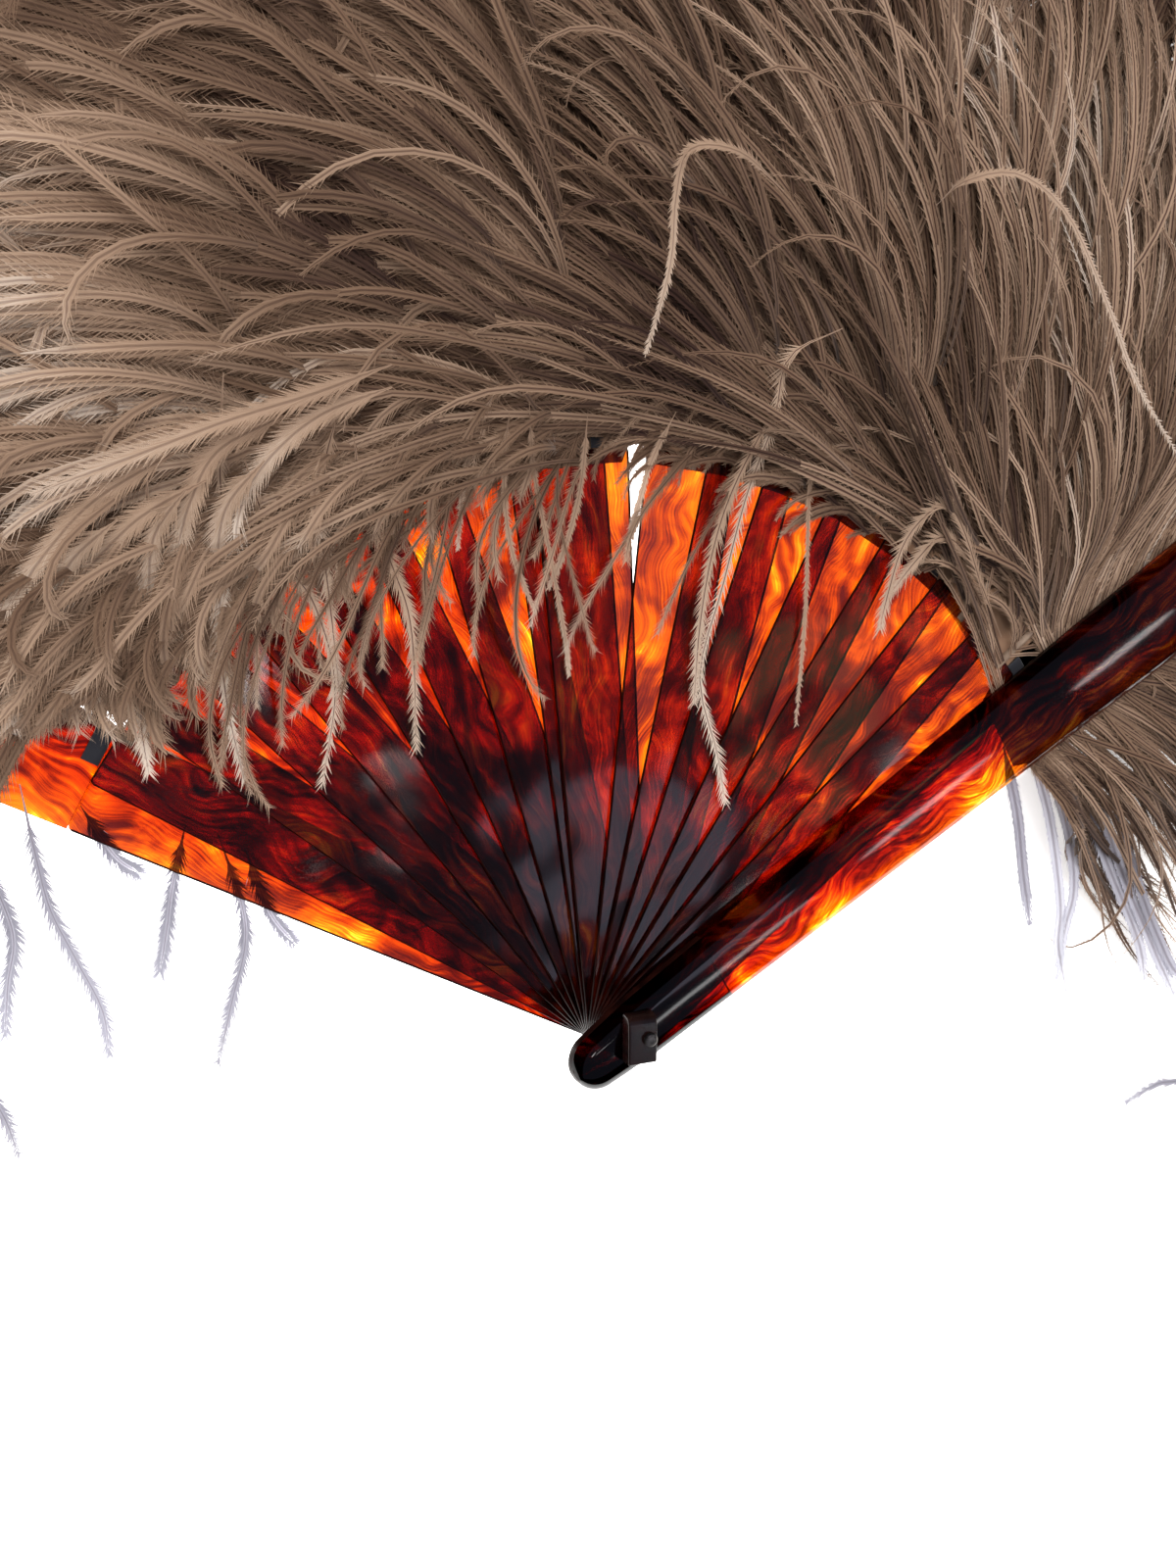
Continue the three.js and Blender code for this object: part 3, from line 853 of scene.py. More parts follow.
# Lays barbs on what is under them and tucks them under the front guard, with the bends smoothed
def settle(paths, rng):
    x, y = paths[..., 0], paths[..., 1]
    floor = bladeTop(x, y) + rng.uniform(*barbRest["rest"], len(paths))[:, None]
    height = np.maximum(paths[..., 2], floor)
    for _ in range(barbRest["smoothings"]):
        height = np.minimum(height, guardCeiling(x, y))
        height[:, 1:-1] = 0.25 * height[:, :-2] + 0.5 * height[:, 1:-1] + 0.25 * height[:, 2:]
    height = np.minimum(height, plume["top"])
    paths[..., 2] = np.maximum(height, bladeTop(x, y) + barbRest["rest"][0])
    return paths


# Barbs: angles in degrees, lengths in metres, and the shape of a barb over its length from 0 to 1.
# A lock's barbs vary together, and a few loose ones vary more, which the second of two scatters adds.
barb = {
    "steps": 15, "crowding": 1.4, "halfWidth": 0.00088, "longest": 0.150, "shortest": 0.050, "shorten": 2.0,
    "lengthScatter": (0.6, 1.05), "heightScatter": 0.0009, "palerFade": 1.8,
    "lengths": [(0, 1.0), (0.5, 0.8), (0.75, 0.66), (0.9, 0.45), (1, 0.36)],
    "turns": [(0, 12), (0.85, 48), (0.96, 34), (1, 8)], "free": [(0.5, 0.06), (0.7, 0.12)],
    "locks": 44, "lockSize": 8, "lockPull": (0.1, 0.5), "pullBow": 1.5, "lockLength": 0.10, "lockTurn": 12,
    "lockClimb": 6, "lockDroop": 9, "looseShare": 0.07, "looseClimb": 14, "slant": 26,
    "slantScatter": (1.5, 16), "turnScatter": (3, 26), "climbScatter": 2, "footClimb": [(0, 0.35), (0.16, 1)],
    "droop": -34, "droopScatter": 3, "bow": 1.2, "ripple": 0.04, "swing": 0.20, "swingPhase": 3,
    "waveTurn": 5.5, "flutter": 0.05, "flutterTurn": 7, "hook": (1.0, 0.6), "hookStart": 0.55, "hookGain": 3,
}
# The upper row lies on each quill's left, the under row on its right, and the front plume's right row drapes
barbRows = {
    "upper": {"count": 540, "fringe": 92, "fade": 0.10, "climb": 35, "paleShare": 1.0, "darker": 0.0,
              "spread": [(0, 58), (0.85, 58), (0.96, 40.6), (1, 14.5)]},
    "under": {"count": 260, "fringe": 24, "fade": 0.10, "climb": 3, "paleShare": 0.6, "darker": 0.0,
              "spread": [(0.25, 12), (0.5, 40)]},
    "drape": {"count": 720, "fringe": 92, "fade": 0.20, "climb": 3, "paleShare": 0.6, "darker": 0.13,
              "spread": [(0, 46)]},
}


def rowOf(side, back):
    if side > 0:
        return barbRows["upper"]
    return barbRows["drape" if back == 0 else "under"]


def barbPaths(rng, quill, lean, side, back):
    row = rowOf(side, back)
    n, t = row["count"], np.linspace(0, 1, barb["steps"])[None]
    root = np.sort(rng.uniform(0, 1, n)) ** barb["crowding"]
    knots = np.linspace(0, 1, barb["locks"]) ** barb["crowding"]
    lock, lockLift, swing = (np.interp(root, knots, rng.normal(0, 1, len(knots))) for _ in range(3))
    length = barb["longest"] - (barb["longest"] - barb["shortest"]) * root ** barb["shorten"]
    if side > 0:
        length = length * between(back, barb["lengths"])
    length = length * (1 + barb["lockLength"] * lock) * rng.uniform(*barb["lengthScatter"], n)
    loose = (rng.uniform(0, 1, n) < barb["looseShare"]) * 1.0
    slantScatter, turnScatter = (combed + more * loose for combed, more in
                                 (barb["slantScatter"], barb["turnScatter"]))
    fan = between(back, row["spread"]) * np.exp(-root / row["fade"])
    phi0 = np.radians(barb["slant"] + fan + slantScatter * rng.normal(0, 1, n))
    turn = between(back, barb["turns"]) + barb["lockTurn"] * lock
    phi1 = phi0 + np.radians(turn + turnScatter * rng.normal(0, 1, n))
    climb = row["climb"] * between(root, barb["footClimb"]) + barb["lockClimb"] * lockLift
    psi0 = np.radians(climb + barb["climbScatter"] * rng.normal(0, 1, n) + barb["looseClimb"] * loose)
    droop = barb["droop"] + barb["lockDroop"] * lockLift
    psi1 = np.radians(droop + barb["droopScatter"] * rng.normal(0, 1, n))
    wave = rng.uniform(0, fullTurn, n)[:, None]
    hook = loose[:, None] * rng.normal(*barb["hook"], n)[:, None]
    ripple = barb["ripple"] * t * np.sin(wave + barb["waveTurn"] * t)
    sway = barb["swing"] * t * np.sin(barb["swingPhase"] * swing[:, None] + barb["waveTurn"] * t)
    phi = sweep(phi0, phi1, t ** barb["bow"]) + ripple + sway
    phi = phi + hook * np.clip(t - barb["hookStart"], 0, 1) ** barb["bow"] * barb["hookGain"]
    psi = sweep(psi0, psi1, t) + barb["flutter"] * np.sin(wave * 2 + barb["flutterTurn"] * t)
    paths = walk(quillSpots(quill, root), alongQuill(lean, root), side, phi, psi, length)
    paths = drawTogether(paths, barb["lockSize"], rng.uniform(*barb["lockPull"], n))
    paths[..., 2] += rng.uniform(0, barb["heightScatter"], n)[:, None] * t
    paths = settle(edgeOff(paths, rng, between(back, barb["free"])), rng)
    return paths, lock, np.clip(1 - barb["palerFade"] * root, 0, 1)


# The short barbs at the quill's foot, which turn right back and hang over the blades' tips
skirt = {
    "count": 70, "share": (1.4, -0.12), "leastShare": 0.04, "root": 0.10, "length": (0.020, 0.040),
    "longer": 0.034, "leave": (40, 14), "hang": (165, 16), "climb": (38, 14), "droop": (-45, 14), "bow": 0.8,
    "ripple": 0.2, "waveTurn": 5.5, "lockSize": 7, "lockPull": (0.1, 0.7), "free": 0.6, "toneScatter": 0.6,
}


def skirtPaths(rng, quill, lean, side, back):
    slope, start = skirt["share"]
    n = int(skirt["count"] * np.clip(back * slope + start, skirt["leastShare"], 1))
    t = np.linspace(0, 1, barb["steps"])[None]
    root = np.sort(rng.uniform(0.0, skirt["root"], n))
    length = rng.uniform(*skirt["length"], n) + skirt["longer"] * back * rng.uniform(0, 1, n)
    phi0, phi1, psi0, psi1 = (around(rng, skirt[k], n) for k in ("leave", "hang", "climb", "droop"))
    wave = rng.uniform(0, fullTurn, n)[:, None]
    phi = sweep(phi0, phi1, t ** skirt["bow"]) + skirt["ripple"] * t * np.sin(wave + skirt["waveTurn"] * t)
    paths = walk(quillSpots(quill, root), alongQuill(lean, root), side, phi, sweep(psi0, psi1, t), length)
    paths = drawTogether(paths, skirt["lockSize"], rng.uniform(*skirt["lockPull"], n))
    paths = settle(edgeOff(paths, rng, skirt["free"]), rng)
    return paths, rng.normal(0, skirt["toneScatter"], n), np.ones(n)


# Long soft barbs that hang straight down the picture over the blades, on the plumes at the back
tassel = {
    "count": 7, "shares": [(0.3, 0), (0.5, 0.4), (0.65, 1), (0.92, 1), (0.97, 0)], "steps": 20, "root": 0.06,
    "lift": 0.004, "length": (0.045, 0.085), "leave": (215, 14), "hang": (272, 14), "climb": (20, 8),
    "droop": (-40, 8), "bow": 0.7, "ripple": 0.22, "waveTurn": 5, "halfShare": 0.5, "point": 5,
    "leastPoint": 0.2, "widthScatter": (0.6, 1.1), "tone": 0.02, "tipTone": 0.45, "tonePower": 1.5,
    "toneScatter": 0.06, "roll": 0.2, "fringe": 240, "reachMm": (1.2, 4.4), "outward": 0.5, "footMm": 0.4,
    "tipShare": 0.9,
}


def tasselPaths(rng, quill, back):
    n = int(round(tassel["count"] * between(back, tassel["shares"])))
    t = np.linspace(0, 1, tassel["steps"])[None]
    start = quillSpots(quill, rng.uniform(0.0, tassel["root"], n))
    start[:, 2] += tassel["lift"]
    length = rng.uniform(*tassel["length"], n)
    plan0, plan1, psi0, psi1 = (around(rng, tassel[k], n) for k in ("leave", "hang", "climb", "droop"))
    wave = rng.uniform(0, fullTurn, n)[:, None]
    ripple = tassel["ripple"] * t * np.sin(wave + tassel["waveTurn"] * t)
    turn = sweep(plan0, plan1, t ** tassel["bow"]) + ripple
    return settle(walk(start, np.zeros(n), 1, turn, sweep(psi0, psi1, t), length), rng)


def tasselLot(rng, paths):
    n, t = len(paths), np.linspace(0, 1, paths.shape[1])[None]
    point = np.clip((1 - t) * tassel["point"], tassel["leastPoint"], 1)
    half = tassel["halfShare"] * barb["halfWidth"] * point * rng.uniform(*tassel["widthScatter"], n)[:, None]
    # Darkest at the foot, painted shade where the tassel leaves the mass, and paler towards the tip
    tones = tassel["tone"] + tassel["tipTone"] * t ** tassel["tonePower"]
    tones = tones + rng.normal(0, tassel["toneScatter"], n)[:, None]
    return strandMesh(paths, half, rng.normal(0, tassel["roll"], n), tones, rng, tassel["fringe"],
                      tassel["reachMm"], tassel["outward"], tassel["footMm"], tipShare=tassel["tipShare"])


# Close down under the barbs, which keeps the light of the floor out of the plume.
# Its dark tone is painted shade, the depth of the mass over it.
down = {
    "half": 0.0125, "swell": 0.0080, "swellPower": 0.8, "rows": 14, "reach": 0.55, "drop": 0.0008,
    "tips": [[0.7], [0.2]], "tone": 0.12, "map": [[0.2, 0.0], [0.3, 0.0], [0.2, 0.0]],
}


def downLot(quill):
    rows = down["rows"]
    at = np.linspace(0, down["reach"] * len(quill), rows).astype(int)
    centre = quill[at]
    ahead = np.gradient(centre, axis=0)
    ahead[:, 2] = 0
    ahead /= np.linalg.norm(ahead, axis=1, keepdims=True)
    out = np.stack([-ahead[:, 1], ahead[:, 0], ahead[:, 2]], 1)
    share = np.linspace(0, 1, rows)
    half = (down["half"] + down["swell"] * np.sin(np.pi * share ** down["swellPower"]))[:, None]
    half[-2:] *= np.array(down["tips"])
    low = centre - np.array([0, 0, down["drop"]])
    verts = np.stack([low - out * half, low, low + out * half], 1).reshape(-1, 3)
    base = np.arange(rows - 1) * 3
    quads = np.stack([base, base + 1, base + 4, base + 3], -1)
    quads = np.concatenate([quads, quads + 1])
    uv = np.tile(down["map"], (rows, 1))
    return verts, quads, np.empty((0, 3), int), uv, np.full(len(verts), down["tone"]), np.ones(len(verts))


# Few barbs hang out past the rear guard's lower edge beside the sticks
rearEdge = {"limits": [(0.165, -0.010), (0.190, 0.003)], "reach": 0.238, "share": 0.015}


def clearOfRear(paths, rng):
    across = paths[..., 1] * math.cos(rearAngle) - paths[..., 0] * math.sin(rearAngle)
    radius = np.hypot(paths[..., 0], paths[..., 1])
    past = ((across > between(radius, rearEdge["limits"])) & (radius < rearEdge["reach"])).any(axis=1)
    return ~past | (rng.uniform(0, 1, len(paths)) < rearEdge["share"])


def insideLimits(paths):
    plan = paths[..., :2]
    return ((plan > np.array(plume["least"])) & (plan < np.array(plume["most"]))).all(axis=(1, 2))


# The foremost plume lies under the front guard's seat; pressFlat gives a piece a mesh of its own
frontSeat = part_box("front_guard")[0][2]
frontLayer = frontSeat - plume["quillRadius"]


def pressFlat(obj):
    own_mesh(obj)


# How a barb's width and tone run from foot to tip, and how they change over the fan
barbTaper = {"foot": 0.6, "swell": 0.4, "swellEnd": 1.15, "fluff": 0.7, "point": 3, "fluffPoint": 4,
             "leastPoint": 0.10, "scatter": (0.7, 1.2), "roll": 0.14, "fluffy": [(0.4, 0), (0.65, 1)]}
# A barb's tone rises from foot to tip; its darker foot is painted shade of the mass over it
barbTone = {
    "plumeScatter": 0.03, "foot": 0.11, "tip": 0.08, "lock": 0.08, "most": 0.72, "palePower": 3,
    "plumes": [(0, 0.06), (0.1, 0.02), (0.3, -0.04), (0.55, -0.05), (0.75, -0.01), (1, -0.01)],
    "pale": [(0, 0.12), (0.4, 0.12), (0.6, 0.28)], "scatter": [(0.2, 0.09), (0.7, 0.045)],
    "shaft": [(0, 1), (0.2, 1), (0.45, 0.75), (0.7, 0.5)],
}


def barbLot(rng, paths, lock, paler, side, back, shift):
    row, n, t = rowOf(side, back), len(paths), np.linspace(0, 1, barb["steps"])[None]
    fluffy = between(back, barbTaper["fluffy"]) if side > 0 else 0.0
    swell = barbTaper["swell"] * np.sin(np.pi * np.clip(t * barbTaper["swellEnd"], 0, 1))
    half = barb["halfWidth"] * (barbTaper["foot"] + swell + barbTaper["fluff"] * fluffy * t ** 2)
    point = (1 - t) * (barbTaper["point"] + barbTaper["fluffPoint"] * fluffy)
    half = half * np.clip(point, barbTaper["leastPoint"], 1) * rng.uniform(*barbTaper["scatter"], n)[:, None]
    pale = between(back, barbTone["pale"]) * row["paleShare"]
    # Darker at the foot, painted shade deep in the mass; paler towards the tip
    tones = barbTone["foot"] + shift + barbTone["tip"] * t + pale * paler * t ** barbTone["palePower"]
    tones = tones + barbTone["lock"] * lock[:, None]
    tones = tones + rng.normal(0, between(back, barbTone["scatter"]), n)[:, None]
    tones = np.minimum(tones + patchTone(paths) - row["darker"], barbTone["most"])
    reach = [least + more * fluffy for least, more in zip(barbule["reachMm"], barbule["fluffMm"])]
    return strandMesh(paths, half, rng.normal(0, barbTaper["roll"], n), tones, rng, row["fringe"], reach,
                      barbule["outward"] + barbule["fluffOutward"] * fluffy,
                      tipShare=barbule["tipShare"] + barbule["fluffTip"] * fluffy,
                      line=between(back, barbTone["shaft"]))


def makePlume(node, body, angle, layer, seed):
    rng = np.random.default_rng(seed)
    bend = rng.uniform(-plume["bend"], plume["bend"])
    s = np.linspace(0, 1, plume["points"])
    start = plume["frontStart"] if body == frontBody else plume["start"]
    radius = start + s * (plume["end"] - start)
    heading = angle + bend * s ** 2
    height = layer + plume["seat"] + plumeRise(radius)
    quill = np.stack([radius * np.cos(heading), radius * np.sin(heading), height], 1)
    lean = np.arctan2(np.gradient(quill[:, 1]), np.gradient(quill[:, 0]))
    lots = [] if node in plume["withoutDown"] else [downLot(quill)]
    back = (angle - frontAngle) / foldTop
    shift = rng.normal(0, barbTone["plumeScatter"]) + between(back, barbTone["plumes"])
    for makePaths, side in ((barbPaths, 1), (barbPaths, -1), (skirtPaths, 1)):
        paths, lock, paler = makePaths(rng, quill, lean, side, back)
        kept = clearOfRear(paths, rng) & insideLimits(paths)
        lots.append(barbLot(rng, paths[kept], lock[kept], paler[kept, None], side, back, shift))
    paths = tasselPaths(rng, quill, back)
    paths = paths[clearOfRear(paths, rng)]
    if len(paths):
        lots.append(tasselLot(rng, paths))
    obj = joinStrands("plume." + node, lots, barbFibre)
    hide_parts(node)
    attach(obj, body)
    pressFlat(obj)
    makeQuill(node, body, quill[plume["rearQuillFrom"]:] if body == rearBody else quill)


def makeQuill(node, body, route):
    bm = bmesh.new()
    rings = []
    last = len(route) - 1
    for i in range(0, len(route), plume["quillStep"]):
        radius = plume["quillRadius"] * (1 - plume["quillThinning"] * i / last)
        ahead = Vector(route[min(i + 1, last)] - route[max(i - 1, 0)]).normalized()
        turn = ahead.to_track_quat("Z", "Y").to_matrix().to_4x4()
        place = Matrix.Translation(Vector(route[i])) @ turn
        ring = bmesh.ops.create_circle(bm, segments=plume["quillSides"], radius=radius, matrix=place)
        rings.append(set(ring["verts"]))
    loops = [[e for e in bm.edges if e.verts[0] in ring and e.verts[1] in ring] for ring in rings]
    for a, b in zip(loops, loops[1:]):
        bmesh.ops.bridge_loops(bm, edges=a + b)
    for end in (loops[0], loops[-1]):
        bmesh.ops.contextual_create(bm, geom=end)
    bmesh.ops.recalc_face_normals(bm, faces=bm.faces)
    mesh = meshFrom("quill." + node, bm)
    smoothFaces(mesh)
    obj = linkMesh(mesh, [quillHorn])
    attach(obj, body)
    pressFlat(obj)


makePlume("rear_plume", rearBody, rearAngle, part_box("rear_plume")[0][2], plume["firstSeed"])
for index, name in enumerate(stickNames):
    node = "plume_" + name[-2:]
    seed = plume["firstSeed"] + 1 + index
    makePlume(node, "blade_" + name[-2:], stickAngle(name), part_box(node)[0][2], seed)
makePlume("front_plume", frontBody, frontAngle, frontLayer, plume["frontSeed"])
print("plumes made")


# Lug and pin at the pivot
pivot = {
    "lugEdge": 0.0006, "lugEdgeSteps": 3, "lugSharp": 0.9, "nose": 0.003, "noseSteps": 6,
    "pinHead": 0.0020, "pinShank": 0.0014, "pinTail": 0.0025, "tailDepth": 0.0011, "headGap": 0.0003,
    "domeDrop": 0.0004, "domeTop": 0.0001, "domeShare": 0.8, "pinSteps": 32, "merge": 1e-6,
}
# Dark cast block, buffed: almost black, with a soft brown shine on its edges
lugLook = {
    "mottleMm": 4.0, "detail": 3.0, "tints": [(0.35, "#0c0606"), (0.7, "#1e0f0c")], "roughness": (0.16, 0.34),
    "finish": {"IOR": 1.53},
}
# Drawn steel wire, headed and left dull: grey with fine worn spots
pinLook = {
    "mottleMm": 0.7, "detail": 3.0, "tints": [(0.3, "#5a5652"), (0.7, "#a39d96")],
    "finish": {"Metallic": 1.0, "Roughness": 0.42},
}


def makeLug():
    low, high = map(Vector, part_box("pivot_lug"))
    bm = bmesh.new()
    bmesh.ops.create_cube(bm, size=1.0)
    bmesh.ops.scale(bm, vec=high - low, verts=bm.verts)
    bmesh.ops.translate(bm, vec=(low + high) / 2, verts=bm.verts)
    top = [v for v in bm.verts if abs(v.co.y - high.y) + abs(v.co.z - high.z) < pivot["merge"]]
    nose = [e for e in bm.edges if all(v in top for v in e.verts)]
    bmesh.ops.bevel(bm, geom=nose, offset=pivot["nose"], offset_type="OFFSET", segments=pivot["noseSteps"],
                    profile=0.5, affect="EDGES", material=-1)
    roundEdges(bm, pivot["lugEdge"], pivot["lugEdgeSteps"], pivot["lugSharp"])
    resin = mottledMaterial("dark cast resin, buffed", lugLook)
    obj = placePiece("pivot.lug", bm, 0.0, [resin], rearBody, ["pivot_lug"])
    smoothFaces(obj.data)
    obj.modifiers.new("evenNormals", "WEIGHTED_NORMAL")


def makePin():
    low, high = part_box("pivot_pin")
    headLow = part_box("pivot_lug")[1][2] + pivot["headGap"]
    tailTop = low[2] + pivot["tailDepth"]
    head, shank, tail = pivot["pinHead"], pivot["pinShank"], pivot["pinTail"]
    profile = [(0, low[2]), (tail, low[2]), (tail, tailTop), (shank, tailTop), (shank, headLow),
               (head, headLow), (head, high[2] - pivot["domeDrop"]),
               (head * pivot["domeShare"], high[2] - pivot["domeTop"]), (0, high[2])]
    bm = bmesh.new()
    spine = [bm.verts.new((r, 0, z)) for r, z in profile]
    edges = [bm.edges.new(pair) for pair in zip(spine, spine[1:])]
    bmesh.ops.spin(bm, geom=spine + edges, cent=(0, 0, 0), axis=(0, 0, 1), angle=2 * math.pi,
                   steps=pivot["pinSteps"], use_merge=True)
    bmesh.ops.remove_doubles(bm, verts=bm.verts, dist=pivot["merge"])
    bmesh.ops.recalc_face_normals(bm, faces=bm.faces)
    steel = mottledMaterial("drawn steel pin, dulled", pinLook)
    placePiece("pivot.pin", bm, 0.0, [steel], rearBody, ["pivot_pin"])


makeLug()
makePin()
print("pivot made")


# Black silk ribbon at the tips: each tab is a strip folded back on itself and pressed flat.
# The fold and the wave across it are in mm.
ribbon = {
    "thick": 0.00012, "width": 0.010, "length": 0.010, "start": 0.0003, "inset": -0.0132,
    "fold": [(0.0, 0.20), (2.3, 0.24), (4.5, 0.18), (4.7, 0.0), (4.5, -0.18), (2.3, -0.20), (0.0, -0.20)],
    "wave": [0.0, 0.08, 0.0, -0.06, 0.04, 0.0],
}
silkLook = {"weaveMm": 0.6, "tints": [(0.2, "#0c0c10"), (0.8, "#26262c")]}


# Woven silk: black, with fine ribs drawn as lighter stripes, a painted sheen, beside the shader's own soft
# sheen;
# the ribs are drawn coarser than real ones so that they show
def silkMaterial():
    material, tree = newMaterial("black silk ribbon, woven")
    uv = addNode(tree, "ShaderNodeUVMap", {"uv_map": "grain"})
    weave = addNode(tree, "ShaderNodeTexWave", {"Scale": 1000 / silkLook["weaveMm"], "Distortion": 1.0},
                    {"Vector": uv.outputs[0]})
    colour = addNode(tree, "ShaderNodeValToRGB", {"stops": rampStops(silkLook["tints"])},
                     {"Fac": weave.outputs["Fac"]})
    shader = addNode(tree, "ShaderNodeBsdfPrincipled", {"Roughness": 0.5, "Sheen Weight": 0.3},
                     {"Base Color": colour.outputs[0]})
    finishMaterial(tree, shader.outputs[0])
    return material


silkWoven = silkMaterial()


def makeTab(node, body, angle):
    low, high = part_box(node)
    start, middle = blade["length"] + ribbon["start"], (low[2] + high[2]) / 2
    bm = bmesh.new()
    rows = []
    for i, lift in enumerate(ribbon["wave"]):
        across = ribbon["inset"] + ribbon["width"] * i / (len(ribbon["wave"]) - 1)
        spots = [(start + u * mm, across, middle + (z + lift) * mm) for u, z in ribbon["fold"]]
        rows.append([bm.verts.new(spot) for spot in spots])
    for a, b in zip(rows, rows[1:]):
        for k in range(len(a) - 1):
            bm.faces.new((a[k], b[k], b[k + 1], a[k + 1]))
    bmesh.ops.recalc_face_normals(bm, faces=bm.faces)
    bmesh.ops.solidify(bm, geom=bm.faces[:], thickness=ribbon["thick"])
    layGrain(bm, (0, 0))
    obj = placePiece("ribbon." + node, bm, angle, [silkWoven], body, [node])


makeTab("rear_tab", rearBody, rearAngle)
for name in stickNames:
    makeTab("tab_" + name[-2:], "blade_" + name[-2:], stickAngle(name))
print("ribbon made")


# Loose barbs that have come away from the combed mass, each placed where it shows: a pixel across
# and down the photograph, and the height in mm above the blades or the floor
wisp = {
    "steps": 26, "endGap": 0.0001, "reach": 0.30, "firstHeight": 0.010, "rounds": 6, "point": (5, 7),
    "leastPoint": 0.2, "tipTone": 0.26, "outward": 0.5, "footMm": 0.9, "tipShare": 0.8, "seed": 77,
}
wispKinds = {
    "long": {"half": 0.00055, "reachMm": (3.0, 5.4), "fringe": 260, "darker": 0.22, "line": 1.0},
    "short": {"half": 0.00055, "reachMm": (3.0, 5.0), "fringe": 130, "darker": 0.22, "line": 0.5},
    "thin": {"half": 0.00040, "reachMm": (1.4, 2.4), "fringe": 200, "darker": 0.22, "line": 0.5},
    "vane": {"half": 0.00110, "reachMm": (3.4, 6.2), "fringe": 320, "darker": 0.28, "line": 0.5},
    "arch": {"half": 0.00060, "reachMm": (1.4, 2.6), "fringe": 280, "darker": 0.22, "line": 0.5},
    "air": {"half": 0.00055, "reachMm": (3.0, 5.4), "fringe": 240, "darker": 0.22, "line": 0.5},
    "strip": {"half": 0.00190, "reachMm": (1.6, 3.0), "fringe": 240, "darker": 0.22, "line": 0.5},
}
